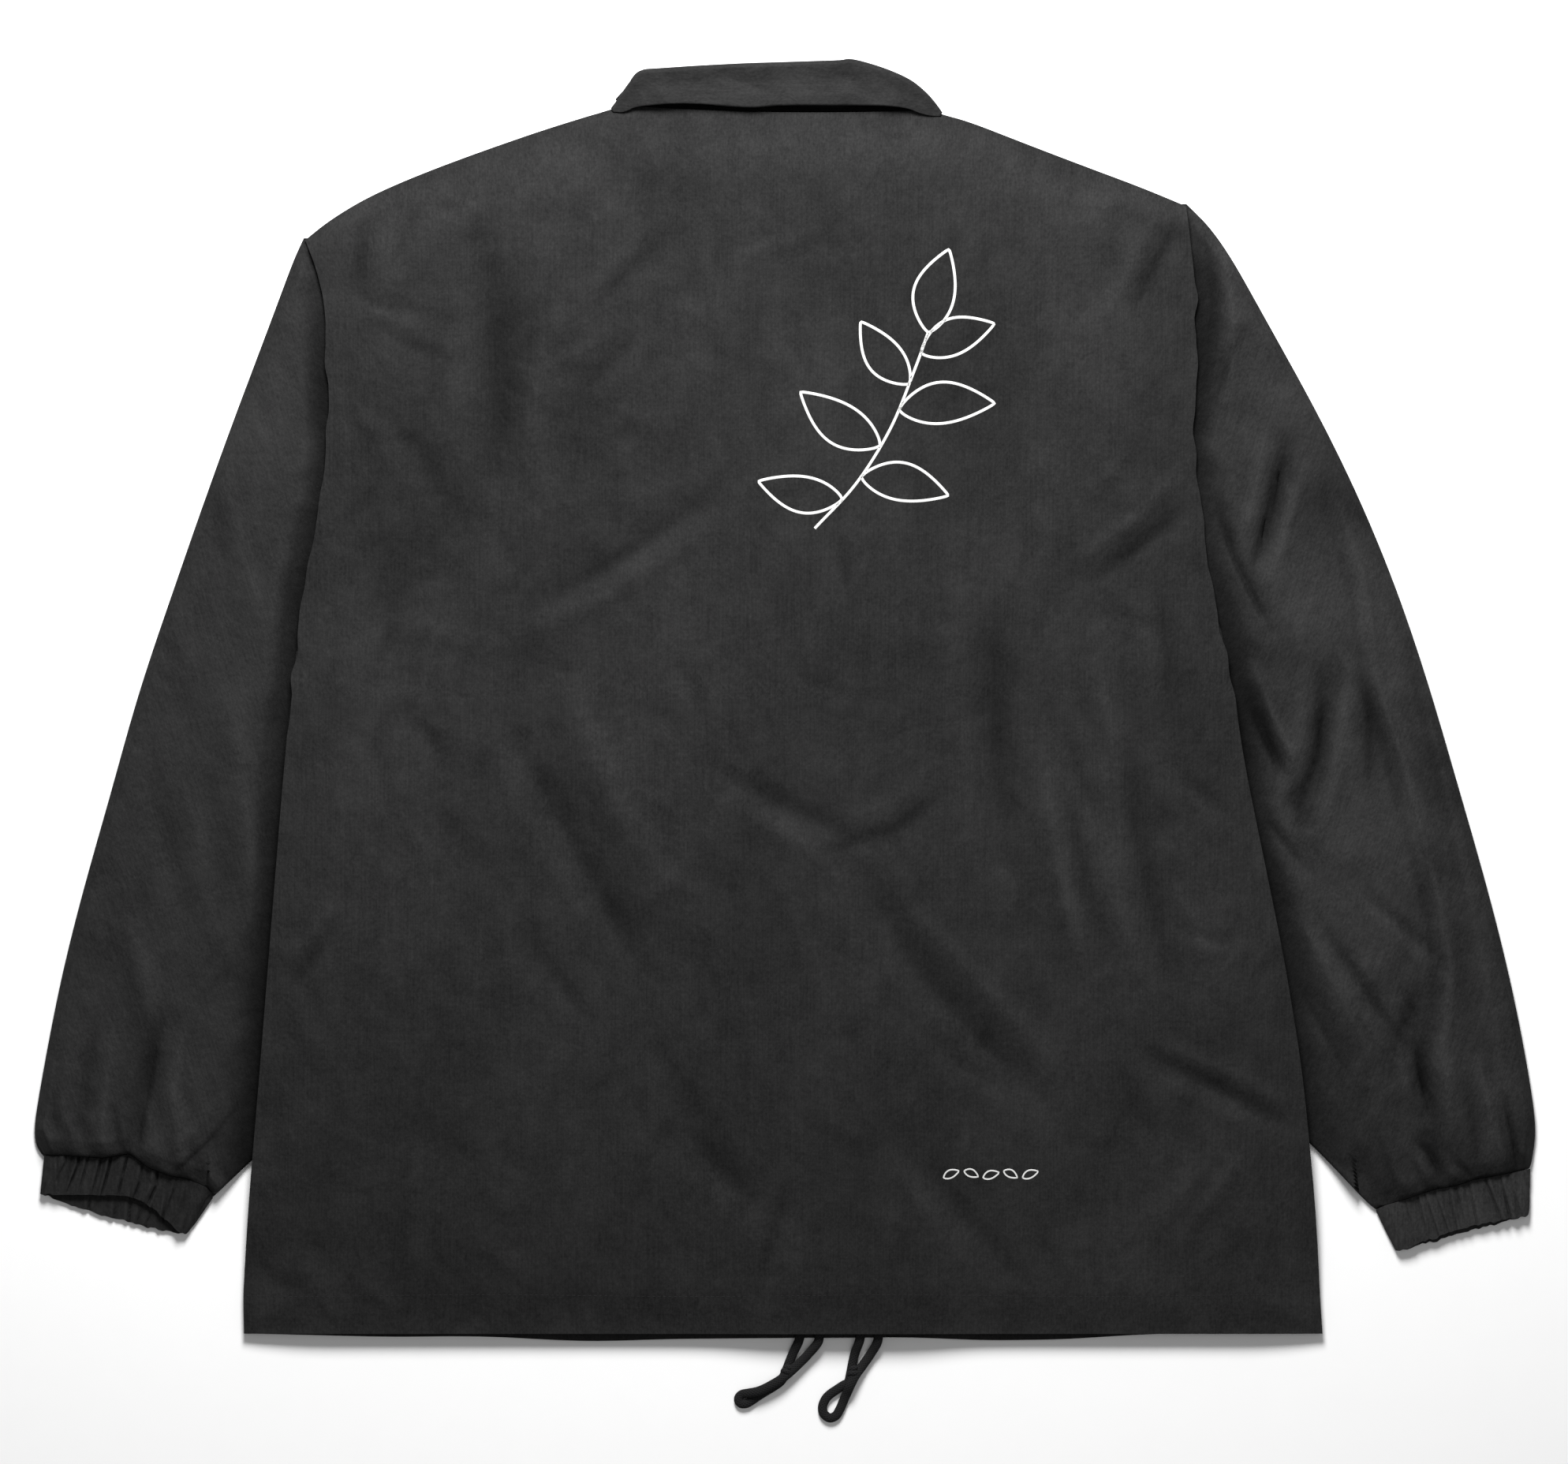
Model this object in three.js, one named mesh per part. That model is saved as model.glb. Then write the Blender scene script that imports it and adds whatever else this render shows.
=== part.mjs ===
// Coach jacket of light woven nylon, laid flat on its front with the back uppermost.
// Millimetres, +Z up, collar towards +Y. The lowest cloth rests on z = 0.
import * as THREE from "three";
import { mergeVertices } from "three/addons/utils/BufferGeometryUtils.js";

// Driving sizes of the cloth and its seams
const cloth = 1.5; // shell cloth wall
const seamGap = 0.35; // between two pieces along a seam
const layerGap = 0.5; // between two layers that lie on each other
const innerGap = 2.2; // usual air between the back and the fronts
const edgeSoft = 26; // width over which that air closes towards a seam

// Body lengths along Y
const hemY = -369;
const tipY = { left: 268.2, right: 288 };
const rowCells = 24;
const hemDepth = 21.5;
const hemStep = 2;
const hemRaise = 0.8; // second layer of the turned hem on the back

// Neck, measured at the two shoulder ends of the neck seam
const neck = {
  left: { x: -98.4, y: 345.5 },
  right: { x: 87.4, y: 342.7 },
  backDip: 3,
  frontDrop: 77,
  curve: 0.6,
};

// Front closure
const overlap = 25;
const closureTop = { x: 0, y: 270 };
const closureHem = { x: 33, y: -370 };
const closureFlat = 14.5;
const closureEnd = 28.5;
const snapRaise = 1.2;
const collarUnder = 2; // room under a front for the collar that is folded there

// Room under the body for the tucked edge of a sleeve
const tuck = { rise: 4.1, width: 82, ramp: 36 };
const sleeveRise = 2.2;
const sleeveBend = 3.5; // outer height of a sleeve at its folded edges
const ringCells = 16;

// Side edges of the body, from hem to shoulder tip
const leftEdge = [
  { y: -369, x: -315.6 },
  { y: -346, x: -316 },
  { y: -300, x: -313.3 },
  { y: -220, x: -306.4 },
  { y: -138, x: -299.9 },
  { y: -35, x: -291.6 },
  { y: 63.5, x: -281.5 },
  { y: 96, x: -275.5 },
  { y: 137, x: -267.3 },
  { y: 178, x: -266.8 },
  { y: 224, x: -268.6 },
  { y: 247, x: -271 },
  { y: 268.2, x: -280 },
];
const rightEdge = [
  { y: -369, x: 312.9 },
  { y: -346, x: 311.4 },
  { y: -300, x: 309.1 },
  { y: -215, x: 300.8 },
  { y: -151, x: 290.3 },
  { y: -87, x: 277.4 },
  { y: -45, x: 268.6 },
  { y: 19, x: 258.1 },
  { y: 61, x: 249.8 },
  { y: 104, x: 243.3 },
  { y: 146, x: 237.5 },
  { y: 189, x: 239.6 },
  { y: 231, x: 240 },
  { y: 288, x: 233.5 },
];

// Shoulder lines and the wavy lower edge of the fronts
const shoulders = [
  { x: -280, y: 268.2 },
  { x: -269.6, y: 277.4 },
  { x: -247.9, y: 291.2 },
  { x: -217.6, y: 305 },
  { x: -180.3, y: 318.8 },
  { x: -140.3, y: 332.6 },
  { x: -98.4, y: 345.5 },
  { x: 87.4, y: 342.7 },
  { x: 101.2, y: 339.5 },
  { x: 136.2, y: 325.7 },
  { x: 172.5, y: 311.9 },
  { x: 210.2, y: 298 },
  { x: 233.5, y: 288 },
];
const frontHem = [
  { x: -316, y: -369 },
  { x: -228, y: -371.2 },
  { x: -182, y: -370.3 },
  { x: -113, y: -374 },
  { x: -67, y: -372.2 },
  { x: 71, y: -371.2 },
  { x: 117, y: -373.1 },
  { x: 163, y: -372.6 },
  { x: 209, y: -369.4 },
  { x: 313, y: -367.5 },
];

// Sleeve sections after the armhole: the outer and the inner end of each, in plan
const leftRings = [
  { outX: -287, outY: 257, inX: -285.2, inY: 38 },
  { outX: -299, outY: 224, inX: -287.4, inY: 18 },
  { outX: -320, outY: 169, inX: -289.6, inY: -1 },
  { outX: -340, outY: 114, inX: -272, inY: -28 },
  { outX: -359, outY: 59, inX: -256, inY: -58 },
  { outX: -378, outY: 4, inX: -246, inY: -92 },
  { outX: -393, outY: -52, inX: -241, inY: -128 },
  { outX: -409, outY: -107, inX: -243, inY: -166 },
  { outX: -423, outY: -162, inX: -253, inY: -202 },
  { outX: -433.3, outY: -217, inX: -275, inY: -236 },
  { outX: -437.7, outY: -243, inX: -298, inY: -256 },
  { outX: -438.3, outY: -254.5, inX: -316, inY: -273 },
  { outX: -436.5, outY: -261.5, inX: -326, inY: -282.5 },
  { outX: -432.5, outY: -266.2, inX: -333.5, inY: -289.9 },
];
const rightRings = [
  { outX: 247, outY: 277, inX: 252.6, inY: 52 },
  { outX: 261, outY: 257, inX: 256.6, inY: 33 },
  { outX: 279, outY: 224, inX: 260.2, inY: 13 },
  { outX: 310, outY: 169, inX: 263.6, inY: -6 },
  { outX: 337, outY: 114, inX: 246, inY: -35 },
  { outX: 359, outY: 59, inX: 230, inY: -72 },
  { outX: 377, outY: 4, inX: 224, inY: -110 },
  { outX: 393, outY: -52, inX: 225, inY: -148 },
  { outX: 409, outY: -107, inX: 232, inY: -183 },
  { outX: 425, outY: -170, inX: 248, inY: -214 },
  { outX: 438.2, outY: -243, inX: 288, inY: -241 },
  { outX: 437, outY: -258, inX: 316, inY: -268.5 },
  { outX: 435.8, outY: -266.5, inX: 332, inY: -286 },
  { outX: 434.4, outY: -272.6, inX: 343.8, inY: -297.3 },
];

// Elastic cuffs: far corners of each, and how far the upper wall stops short of the lower
const cuffWall = 1.8;
const cuffHollow = 0.7;
const cuffWaves = 14;
const cuffWaveHeight = 0.9;
const cuffEnds = {
  left: { outX: -434.9, outY: -287.6, inX: -348.6, inY: -312, short: 7, bow: 2 },
  right: { outX: 434, outY: -299.9, inX: 355.2, inY: -321.5, short: 2.5, bow: 0 },
};

// Large folds: a line in plan, how wide it is to each side, and its height (a trough is below 0)
const backFolds = [
  { x1: -172, y1: 262, x2: -166, y2: 130, wide: 26, high: -1.5 },
  { x1: -136, y1: 58, x2: -40, y2: 118, wide: 20, high: -1.2 },
  { x1: -150, y1: 30, x2: -60, y2: 84, wide: 18, high: 1 },
  { x1: -164, y1: -6, x2: -86, y2: -157, wide: 22, high: -1.7 },
  { x1: -128, y1: 6, x2: -52, y2: -140, wide: 24, high: 1.1 },
  { x1: -60, y1: -240, x2: -12, y2: -296, wide: 20, high: -1 },
  { x1: -38, y1: -45, x2: 38, y2: -81, wide: 18, high: -1.2 },
  { x1: 38, y1: -81, x2: 92, y2: -52, wide: 18, high: -1.2 },
  { x1: 48, y1: -130, x2: 150, y2: -238, wide: 22, high: -1.5 },
  { x1: 123, y1: 12, x2: 140, y2: -108, wide: 22, high: -1.6 },
  { x1: 151, y1: -48, x2: 173, y2: -152, wide: 18, high: 1.3 },
  { x1: 200, y1: -33, x2: 222, y2: -160, wide: 18, high: -1.3 },
  { x1: 170, y1: 81, x2: 236, y2: 135, wide: 20, high: 1 },
  { x1: 216, y1: -209, x2: 296, y2: -250, wide: 18, high: -1.4 },
  { x1: -246, y1: 277, x2: -252, y2: 225, wide: 18, high: -1.2 },
  { x1: -244, y1: 173, x2: -189, y2: 100, wide: 20, high: 1 },
];
const sleeveFolds = {
  left: [
    { x1: -330, y1: 150, x2: -300, y2: 20, wide: 16, high: -1.2 },
    { x1: -370, y1: -40, x2: -347, y2: -130, wide: 14, high: -1.4 },
    { x1: -388, y1: -120, x2: -362, y2: -205, wide: 14, high: 1.1 },
    { x1: -361, y1: -190, x2: -379, y2: -262, wide: 12, high: -1.8 },
    { x1: -350, y1: -205, x2: -345, y2: -262, wide: 12, high: 1.1 },
    { x1: -405, y1: -180, x2: -412, y2: -258, wide: 11, high: -1.2 },
  ],
  right: [
    { x1: 290, y1: 155, x2: 268, y2: 70, wide: 14, high: -1.5 },
    { x1: 258, y1: 25, x2: 290, y2: -42, wide: 14, high: -1.8 },
    { x1: 326, y1: 125, x2: 362, y2: -25, wide: 15, high: 1.1 },
    { x1: 360, y1: -23, x2: 392, y2: -195, wide: 14, high: 1.1 },
    { x1: 313, y1: 20, x2: 296, y2: -70, wide: 13, high: -1.5 },
    { x1: 340, y1: 10, x2: 352, y2: -130, wide: 14, high: -1.2 },
    { x1: 368, y1: -170, x2: 356, y2: -215, wide: 12, high: -1.3 },
    { x1: 372, y1: -205, x2: 374, y2: -275, wide: 12, high: -1.4 },
    { x1: 406, y1: -215, x2: 418, y2: -268, wide: 10, high: -1.2 },
  ],
};

// Collar: seam to roll to outer edge. Offsets of the front half point away from the centre line.
const collar = { inner: 0.25, backGap: 0.8, edgeLift: 2.4, rollCells: 4, turnStep: 30, endGap: 3 };
const collarSides = {
  left: { seamX: -96.2, seamY: 346.2, rollX: -82, rollY: 364, edgeX: -96.5, edgeY: 348 },
  right: { seamX: 86, seamY: 344, rollX: 62, rollY: 362.5, edgeX: 84.5, edgeY: 346.6 },
};
const collarBack = [
  { share: 0, rollX: 5, rollY: 366 },
  { share: 0.25, rollX: 1, rollY: 368.8 },
  { share: 0.5, rollX: 0, rollY: 370.7 },
  { share: 0.75, rollX: -2, rollY: 371.8 },
  { share: 0.88, rollX: -9, rollY: 369 },
  { share: 1, rollX: -24, rollY: 363 },
];
const collarFront = [
  { share: 0, rollOut: -1, rollUp: 22, edgeOut: 30, edgeUp: -60 },
  { share: 0.25, rollOut: -4, rollUp: 22, edgeOut: 38, edgeUp: -52 },
  { share: 0.5, rollOut: -8, rollUp: 21, edgeOut: 40, edgeUp: -42 },
  { share: 0.75, rollOut: -13, rollUp: 20, edgeOut: 38, edgeUp: -33 },
  { share: 0.9, rollOut: -15, rollUp: 21, edgeOut: 28, edgeUp: -24 },
  { share: 1, rollOut: -14, rollUp: 20, edgeOut: 6, edgeUp: -9 },
];
const collarFallEdge = { leftY: 347.3, rightY: 345.5 };

// Snaps down the outside of the left front, and the eyelets in the hem of the two fronts
const snap = { radius: 6.5, high: 0.9, rim: 0.35, rows: [250, 105, -25, -155, -285] };
const eyelet = { radius: 5, hole: 2.2, high: 0.7, y: -352 };
const eyelets = { left: { x: 13.5, z: 1.8 }, right: { x: 48.5, z: 3.65 } };

// Hem cords: flat oval section, and the points that each stretch follows
const cord = { wide: 5, high: 2.4, sides: 8 };
const cordRoutes = {
  cord_left_strand_a: {
    steps: 9,
    points: [
      [11, -357.8, 3.1], [9.2, -365, 3.2], [7.8, -373, 3.4], [4.6, -380, 2], [2.4, -385.4, 1.4],
    ],
  },
  cord_left_strand_b: {
    steps: 10,
    points: [
      [16.2, -357.8, 3.3], [18.6, -365, 4.8], [19.3, -373, 4.8], [13, -381.2, 3.6], [6.6, -387.7, 3.6],
    ],
  },
  cord_left_loop: {
    steps: 26,
    points: [
      [-2.6, -396.7, 1.4], [-7.6, -400.4, 1.4], [-11.8, -402.9, 1.4], [-15.6, -405.3, 1.4],
      [-19.6, -408, 1.4], [-23, -409.9, 1.3], [-26.1, -409.8, 1.3], [-27.5, -407.3, 1.3],
      [-25.6, -404.7, 1.4], [-21.4, -403.7, 3.1], [-16.6, -402.7, 4], [-12.2, -401, 4.1],
      [-7.9, -398.7, 4.2], [-3.2, -395.9, 4.2],
    ],
  },
  cord_right_strand_a: {
    steps: 9,
    points: [
      [45.9, -357.8, 4.9], [44.4, -365, 4.9], [43.1, -373, 4.7], [40.6, -380, 2.3], [39.2, -385.8, 1.4],
    ],
  },
  cord_right_strand_b: {
    steps: 10,
    points: [
      [51.3, -357.8, 4.9], [53.4, -365, 4.9], [53.8, -373, 4.7], [49.8, -380.6, 2.6], [44.8, -387.8, 2.6],
    ],
  },
  cord_right_loop: {
    steps: 28,
    points: [
      [36.6, -397.4, 1.4], [33.5, -399.4, 1.4], [29.8, -401.9, 1.3], [26.2, -404.3, 1.3],
      [23.4, -407.2, 1.3], [21.6, -411.5, 1.3], [22.2, -415.6, 1.3], [25.6, -418.3, 1.3],
      [29.3, -417, 1.3], [31.7, -413.2, 1.3], [33.5, -409, 1.3], [35.2, -405, 2.2],
      [36.8, -401.4, 3.7], [38.2, -398.2, 4.2],
    ],
  },
};
const knots = {
  cord_left_knot: { x: 0.6, y: -391.3, dirX: -0.57, dirY: -0.82 },
  cord_right_knot: { x: 39.6, y: -392.1, dirX: -0.2, dirY: -0.98 },
};
const knotSize = { long: 10.7, wide: 7.2, high: 5.8 };

// Colours
const shellCloth = new THREE.MeshStandardMaterial({ color: 0x343436, roughness: 0.82, metalness: 0 });
const cuffCloth = new THREE.MeshStandardMaterial({ color: 0x2c2c2e, roughness: 0.85, metalness: 0 });
const cordYarn = new THREE.MeshStandardMaterial({ color: 0x1d1d1e, roughness: 0.9, metalness: 0 });
const snapCap = new THREE.MeshStandardMaterial({ color: 0x2a2a2c, roughness: 0.4, metalness: 0.3 });
const eyeletMetal = new THREE.MeshStandardMaterial({ color: 0x3a3a3c, roughness: 0.35, metalness: 0.9 });

const lerp = (a, b, t) => a + (b - a) * t;
const clamp = (v) => Math.min(1, Math.max(0, v));

function smooth(v) {
  const t = clamp(v);
  return t * t * (3 - 2 * t);
}

// Reads column "out" of a table at a value of column "key", in straight steps between rows
function read(table, key, value, out) {
  if (value <= table[0][key]) return table[0][out];
  for (let i = 1; i < table.length; i++) {
    const a = table[i - 1];
    const b = table[i];
    if (value <= b[key]) return lerp(a[out], b[out], (value - a[key]) / (b[key] - a[key]));
  }
  return table[table.length - 1][out];
}

const sideTables = { left: leftEdge, right: rightEdge };
const sideX = (side, y) => read(sideTables[side], "y", y, "x");
const outSign = { left: -1, right: 1 };

function closureX(y) {
  const t = (closureTop.y - y) / (closureTop.y - closureHem.y);
  return lerp(closureTop.x, closureHem.x, t);
}

// Height that a table of folds adds at a point, soft to both sides and at both ends
function foldHeight(folds, x, y) {
  let sum = 0;
  for (const fold of folds) {
    const dx = fold.x2 - fold.x1;
    const dy = fold.y2 - fold.y1;
    const along = ((x - fold.x1) * dx + (y - fold.y1) * dy) / (dx * dx + dy * dy);
    const t = clamp(along);
    const away = Math.hypot(x - fold.x1 - dx * t, y - fold.y1 - dy * t) / fold.wide;
    sum += fold.high * Math.exp(-2 * away * away) * (0.45 + 0.55 * Math.sin(Math.PI * t));
  }
  return sum;
}

// Neck seams: the back one dips a little, the front one hangs in a deep curve
function neckShare(x) {
  const middle = (neck.left.x + neck.right.x) / 2;
  return clamp(Math.abs(x - middle) / ((neck.right.x - neck.left.x) / 2));
}

const neckLine = (x) => {
  const t = (x - neck.left.x) / (neck.right.x - neck.left.x);
  return lerp(neck.left.y, neck.right.y, clamp(t));
};
const inNeck = (x) => x > neck.left.x && x < neck.right.x;

function backTop(x) {
  if (!inNeck(x)) return read(shoulders, "x", x, "y");
  return neckLine(x) - neck.backDip * (1 - neckShare(x) ** 2);
}

function frontTop(x) {
  if (!inNeck(x)) return read(shoulders, "x", x, "y");
  return neckLine(x) - neck.frontDrop * (1 - neckShare(x) ** 2) ** neck.curve;
}

// Heights of the layers. What lies under a front lifts it, and the fronts lift the back.
function sleeveLift(side, x, y) {
  const inside = (sideX(side, y) - x) * outSign[side];
  const top = side === "left" ? 5 : 16;
  const along = smooth((top + 46 - y) / 46) * smooth((y + 345) / 50);
  return tuck.rise * along * (1 - smooth((inside - tuck.width) / tuck.ramp));
}

function collarLift(x, y) {
  const reach = Math.hypot((x + 5) / 130, (y - 345) / 150);
  return collarUnder * (1 - smooth((reach - 1.2) / 0.3));
}

function placketShare(x, y, flat, end) {
  return 1 - smooth((Math.abs(x - closureX(y)) - flat) / (end - flat));
}

const snapLift = (y) => snapRaise * smooth((y + 345) / 36);

function frontBase(x, y, flat, end) {
  const placket = snapLift(y) * placketShare(x, y, flat, end);
  return Math.max(collarLift(x, y), placket, sleeveLift("left", x, y), sleeveLift("right", x, y));
}

const leftLow = (x, y) => frontBase(x, y, closureFlat, closureEnd);
const rightLow = (x, y) => {
  const step = (cloth + layerGap * 0.7) * placketShare(x, y, closureFlat, closureEnd);
  return leftLow(x, y) + step;
};

function cordRoom(x, y) {
  const across = 1 - smooth((Math.abs(x - closureX(y)) - 42) / 30);
  return across * (1 - smooth((y + 350) / 26));
}

function backLow(x, y) {
  const fronts = frontBase(x, y, 42, 80) + (cloth + layerGap * 0.7) * placketShare(x, y, 42, 80);
  const fromSide = Math.min(x - sideX("left", y), sideX("right", y) - x);
  const fromTop = (backTop(x) - y) * 0.9;
  const open = smooth(Math.min(fromSide, fromTop) / edgeSoft);
  const air = Math.min(innerGap + foldHeight(backFolds, x, y), 3.8 - layerGap);
  const gap = layerGap + open * Math.max(air, 0.3);
  return fronts + cloth + Math.max(gap, 3.3 * cordRoom(x, y));
}

// A wall between two grids of points, its rims closed. Rows that wrap make a tube.
function wall(name, grid, material, wraps = false) {
  const rows = grid.length;
  const cols = grid[0].length;
  const points = grid.flatMap((row) => row.map((node) => node.under));
  points.push(...grid.flatMap((row) => row.map((node) => node.over)));
  const under = (r, c) => r * cols + (c % cols);
  const over = (r, c) => rows * cols + under(r, c);
  const faces = [];
  const quad = (a, b, c, d) => faces.push(a, b, c, a, c, d);
  const cells = wraps ? cols : cols - 1;
  for (let r = 0; r < rows - 1; r++) {
    for (let c = 0; c < cells; c++) {
      quad(over(r, c), over(r, c + 1), over(r + 1, c + 1), over(r + 1, c));
      quad(under(r, c), under(r + 1, c), under(r + 1, c + 1), under(r, c + 1));
    }
    if (!wraps) {
      quad(under(r + 1, 0), under(r, 0), over(r, 0), over(r + 1, 0));
      quad(under(r, cells), under(r + 1, cells), over(r + 1, cells), over(r, cells));
    }
  }
  for (let c = 0; c < cells; c++) {
    quad(under(0, c), under(0, c + 1), over(0, c + 1), over(0, c));
    quad(under(rows - 1, c + 1), under(rows - 1, c), over(rows - 1, c), over(rows - 1, c + 1));
  }
  const geometry = new THREE.BufferGeometry();
  geometry.setAttribute("position", new THREE.Float32BufferAttribute(points.flat(), 3));
  geometry.setIndex(faces);
  return solid(name, geometry, material);
}

// Merges shared corners and turns the faces outwards
function solid(name, source, material) {
  const geometry = source.clone();
  geometry.deleteAttribute("normal");
  geometry.deleteAttribute("uv");
  const merged = mergeVertices(geometry, 1e-4);
  const at = merged.getAttribute("position");
  const index = merged.index.array;
  const [a, b, c] = [new THREE.Vector3(), new THREE.Vector3(), new THREE.Vector3()];
  let volume = 0;
  for (let i = 0; i < index.length; i += 3) {
    a.fromBufferAttribute(at, index[i]);
    b.fromBufferAttribute(at, index[i + 1]);
    c.fromBufferAttribute(at, index[i + 2]);
    volume += a.dot(b.cross(c));
  }
  if (volume < 0) {
    for (let i = 0; i < index.length; i += 3) {
      [index[i + 1], index[i + 2]] = [index[i + 2], index[i + 1]];
    }
  }
  merged.computeVertexNormals();
  const mesh = new THREE.Mesh(merged, material);
  mesh.name = name;
  return mesh;
}

// Row heights shared by the back and the fronts, so that their side seams meet point to point
function rowY(row, low, top) {
  if (row === 0) return low;
  if (row === 1) return low + hemDepth;
  if (row === 2) return low + hemDepth + hemStep;
  return lerp(low, top, (row - 1) / rowCells);
}

const rowCount = rowCells + 2;

// A panel from its columns: each column gives x at a height y
function panelGrid(columns, lowLine, topLine, heightAt, extraAt) {
  const grid = [];
  for (let row = 0; row < rowCount; row++) {
    const nodes = [];
    for (const column of columns) {
      let x = column(0);
      let y = 0;
      for (let pass = 0; pass < 8; pass++) {
        y = rowY(row, lowLine(x), topLine(x));
        x = column(y);
      }
      const low = heightAt(x, y);
      nodes.push({ under: [x, y, low], over: [x, y, low + cloth + extraAt(row)] });
    }
    grid.push(nodes);
  }
  return grid;
}

// Columns evenly spaced between two lines, without the first
function between(from, to, count) {
  const list = [];
  for (let i = 1; i <= count; i++) list.push((y) => lerp(from(y), to(y), i / count));
  return list;
}

const sideInset = 12;
const leftSide = (y) => sideX("left", y);
const rightSide = (y) => sideX("right", y);
const leftInset = (y) => leftSide(y) + sideInset;
const rightInset = (y) => rightSide(y) - sideInset;

// Columns through the neck points, so that the corners of the neck are sharp
function throughNeck(x) {
  const share = (x - leftSide(neck.left.y)) / (rightSide(neck.right.y) - leftSide(neck.left.y));
  return (y) => lerp(leftSide(y), rightSide(y), share);
}

const neckLeft = throughNeck(neck.left.x);
const neckRight = throughNeck(neck.right.x);
const fromClosure = (offset) => (y) => closureX(y) + offset;
const neckCells = 8;

const backColumns = [
  leftSide,
  leftInset,
  ...between(leftInset, neckLeft, 8),
  ...between(neckLeft, neckRight, neckCells),
  ...between(neckRight, rightInset, 7),
  rightSide,
];
const leftColumns = [
  leftSide,
  leftInset,
  ...between(leftInset, neckLeft, 8),
  ...between(neckLeft, fromClosure(-closureEnd), 4),
  fromClosure(-closureFlat),
  fromClosure(-collar.endGap),
  fromClosure(overlap / 2),
];
const rightColumns = [
  fromClosure(-overlap / 2),
  fromClosure(collar.endGap),
  fromClosure(closureFlat),
  fromClosure(closureEnd),
  ...between(fromClosure(closureEnd), neckRight, 4),
  ...between(neckRight, rightInset, 7),
  rightSide,
];

const hemLine = (x) => read(frontHem, "x", x, "y");
const backHemExtra = (row) => (row <= 1 ? hemRaise : 0);
const backGrid = panelGrid(backColumns, () => hemY, backTop, backLow, backHemExtra);
const leftGrid = panelGrid(leftColumns, hemLine, frontTop, leftLow, () => 0);
const rightGrid = panelGrid(rightColumns, hemLine, frontTop, rightLow, () => 0);

// Points round a flattened tube: lower wall, inner bend, upper wall, outer bend
function flatRing(lower, upper, wallThick) {
  const ring = [];
  const last = lower.length - 1;
  const bend = (at, next, top) => {
    const reach = Math.hypot(at[0] - next[0], at[1] - next[1]);
    const out = [(at[0] - next[0]) / reach, (at[1] - next[1]) / reach];
    return [60, 120].map((angle) => {
      const turn = THREE.MathUtils.degToRad(angle);
      const place = (radius) => [
        at[0] + out[0] * radius * Math.sin(turn),
        at[1] + out[1] * radius * Math.sin(turn),
        top / 2 - radius * Math.cos(turn),
      ];
      return { over: place(top / 2), under: place(top / 2 - wallThick) };
    });
  };
  for (const [x, y] of lower) ring.push({ over: [x, y, 0], under: [x, y, wallThick] });
  ring.push(...bend(lower[last], lower[last - 1], upper[0][2]));
  for (const [x, y, top, inside] of upper) ring.push({ over: [x, y, top], under: [x, y, inside] });
  ring.push(...bend(lower[0], lower[1], upper[upper.length - 1][2]).reverse());
  return ring;
}

// The armhole edge of the body, moved out by the seam gap: from shoulder tip down to underarm
function armhole(side) {
  const armRows = ringCells / 2;
  const edge = backGrid.map((row) => (side === "left" ? row[0] : row[row.length - 1]).under);
  const points = [];
  for (let i = 0; i <= ringCells; i++) {
    const at = edge[rowCount - 1 - Math.floor(i / 2)];
    const next = edge[Math.max(rowCount - 1 - armRows, rowCount - 1 - Math.ceil(i / 2))];
    points.push([(at[0] + next[0]) / 2 + outSign[side] * seamGap, (at[1] + next[1]) / 2]);
  }
  return points;
}

const bendRadius = sleeveBend / 2;

// A straight section of sleeve in plan, its ends drawn in by the bend
function section(ring, count, inset) {
  const length = Math.hypot(ring.inX - ring.outX, ring.inY - ring.outY);
  const points = [];
  for (let i = 0; i <= count; i++) {
    const share = lerp(inset / length, 1 - inset / length, i / count);
    points.push([lerp(ring.outX, ring.inX, share), lerp(ring.outY, ring.inY, share)]);
  }
  return points;
}

function sleeveTop(side, x, y, share, ringShare) {
  const outside = (x - sideX(side, y)) * outSign[side];
  const clear = smooth((outside - 9) / 40);
  const swell = smooth(Math.min(share, 1 - share) / 0.2);
  const gather = Math.sin(share * Math.PI * 11 + 0.6) * 0.7 * smooth((ringShare - 0.72) / 0.28);
  const fold = foldHeight(sleeveFolds[side], x, y) + gather;
  const hollow = Math.min(sleeveRise + fold, 3.9 - layerGap);
  return sleeveBend + clear * swell * Math.max(hollow, 0.2);
}

function sleeve(side, rings) {
  const sections = [armhole(side), ...rings.map((ring) => section(ring, ringCells, bendRadius))];
  const grid = sections.map((points, r) => {
    const upper = points.map(([x, y], i) => {
      const top = r === 0 ? sleeveBend : sleeveTop(side, x, y, i / ringCells, r / rings.length);
      return [x, y, top, top - cloth];
    });
    return flatRing(points, upper.reverse(), cloth);
  });
  return wall(`sleeve_${side}`, grid, shellCloth, true);
}

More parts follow.
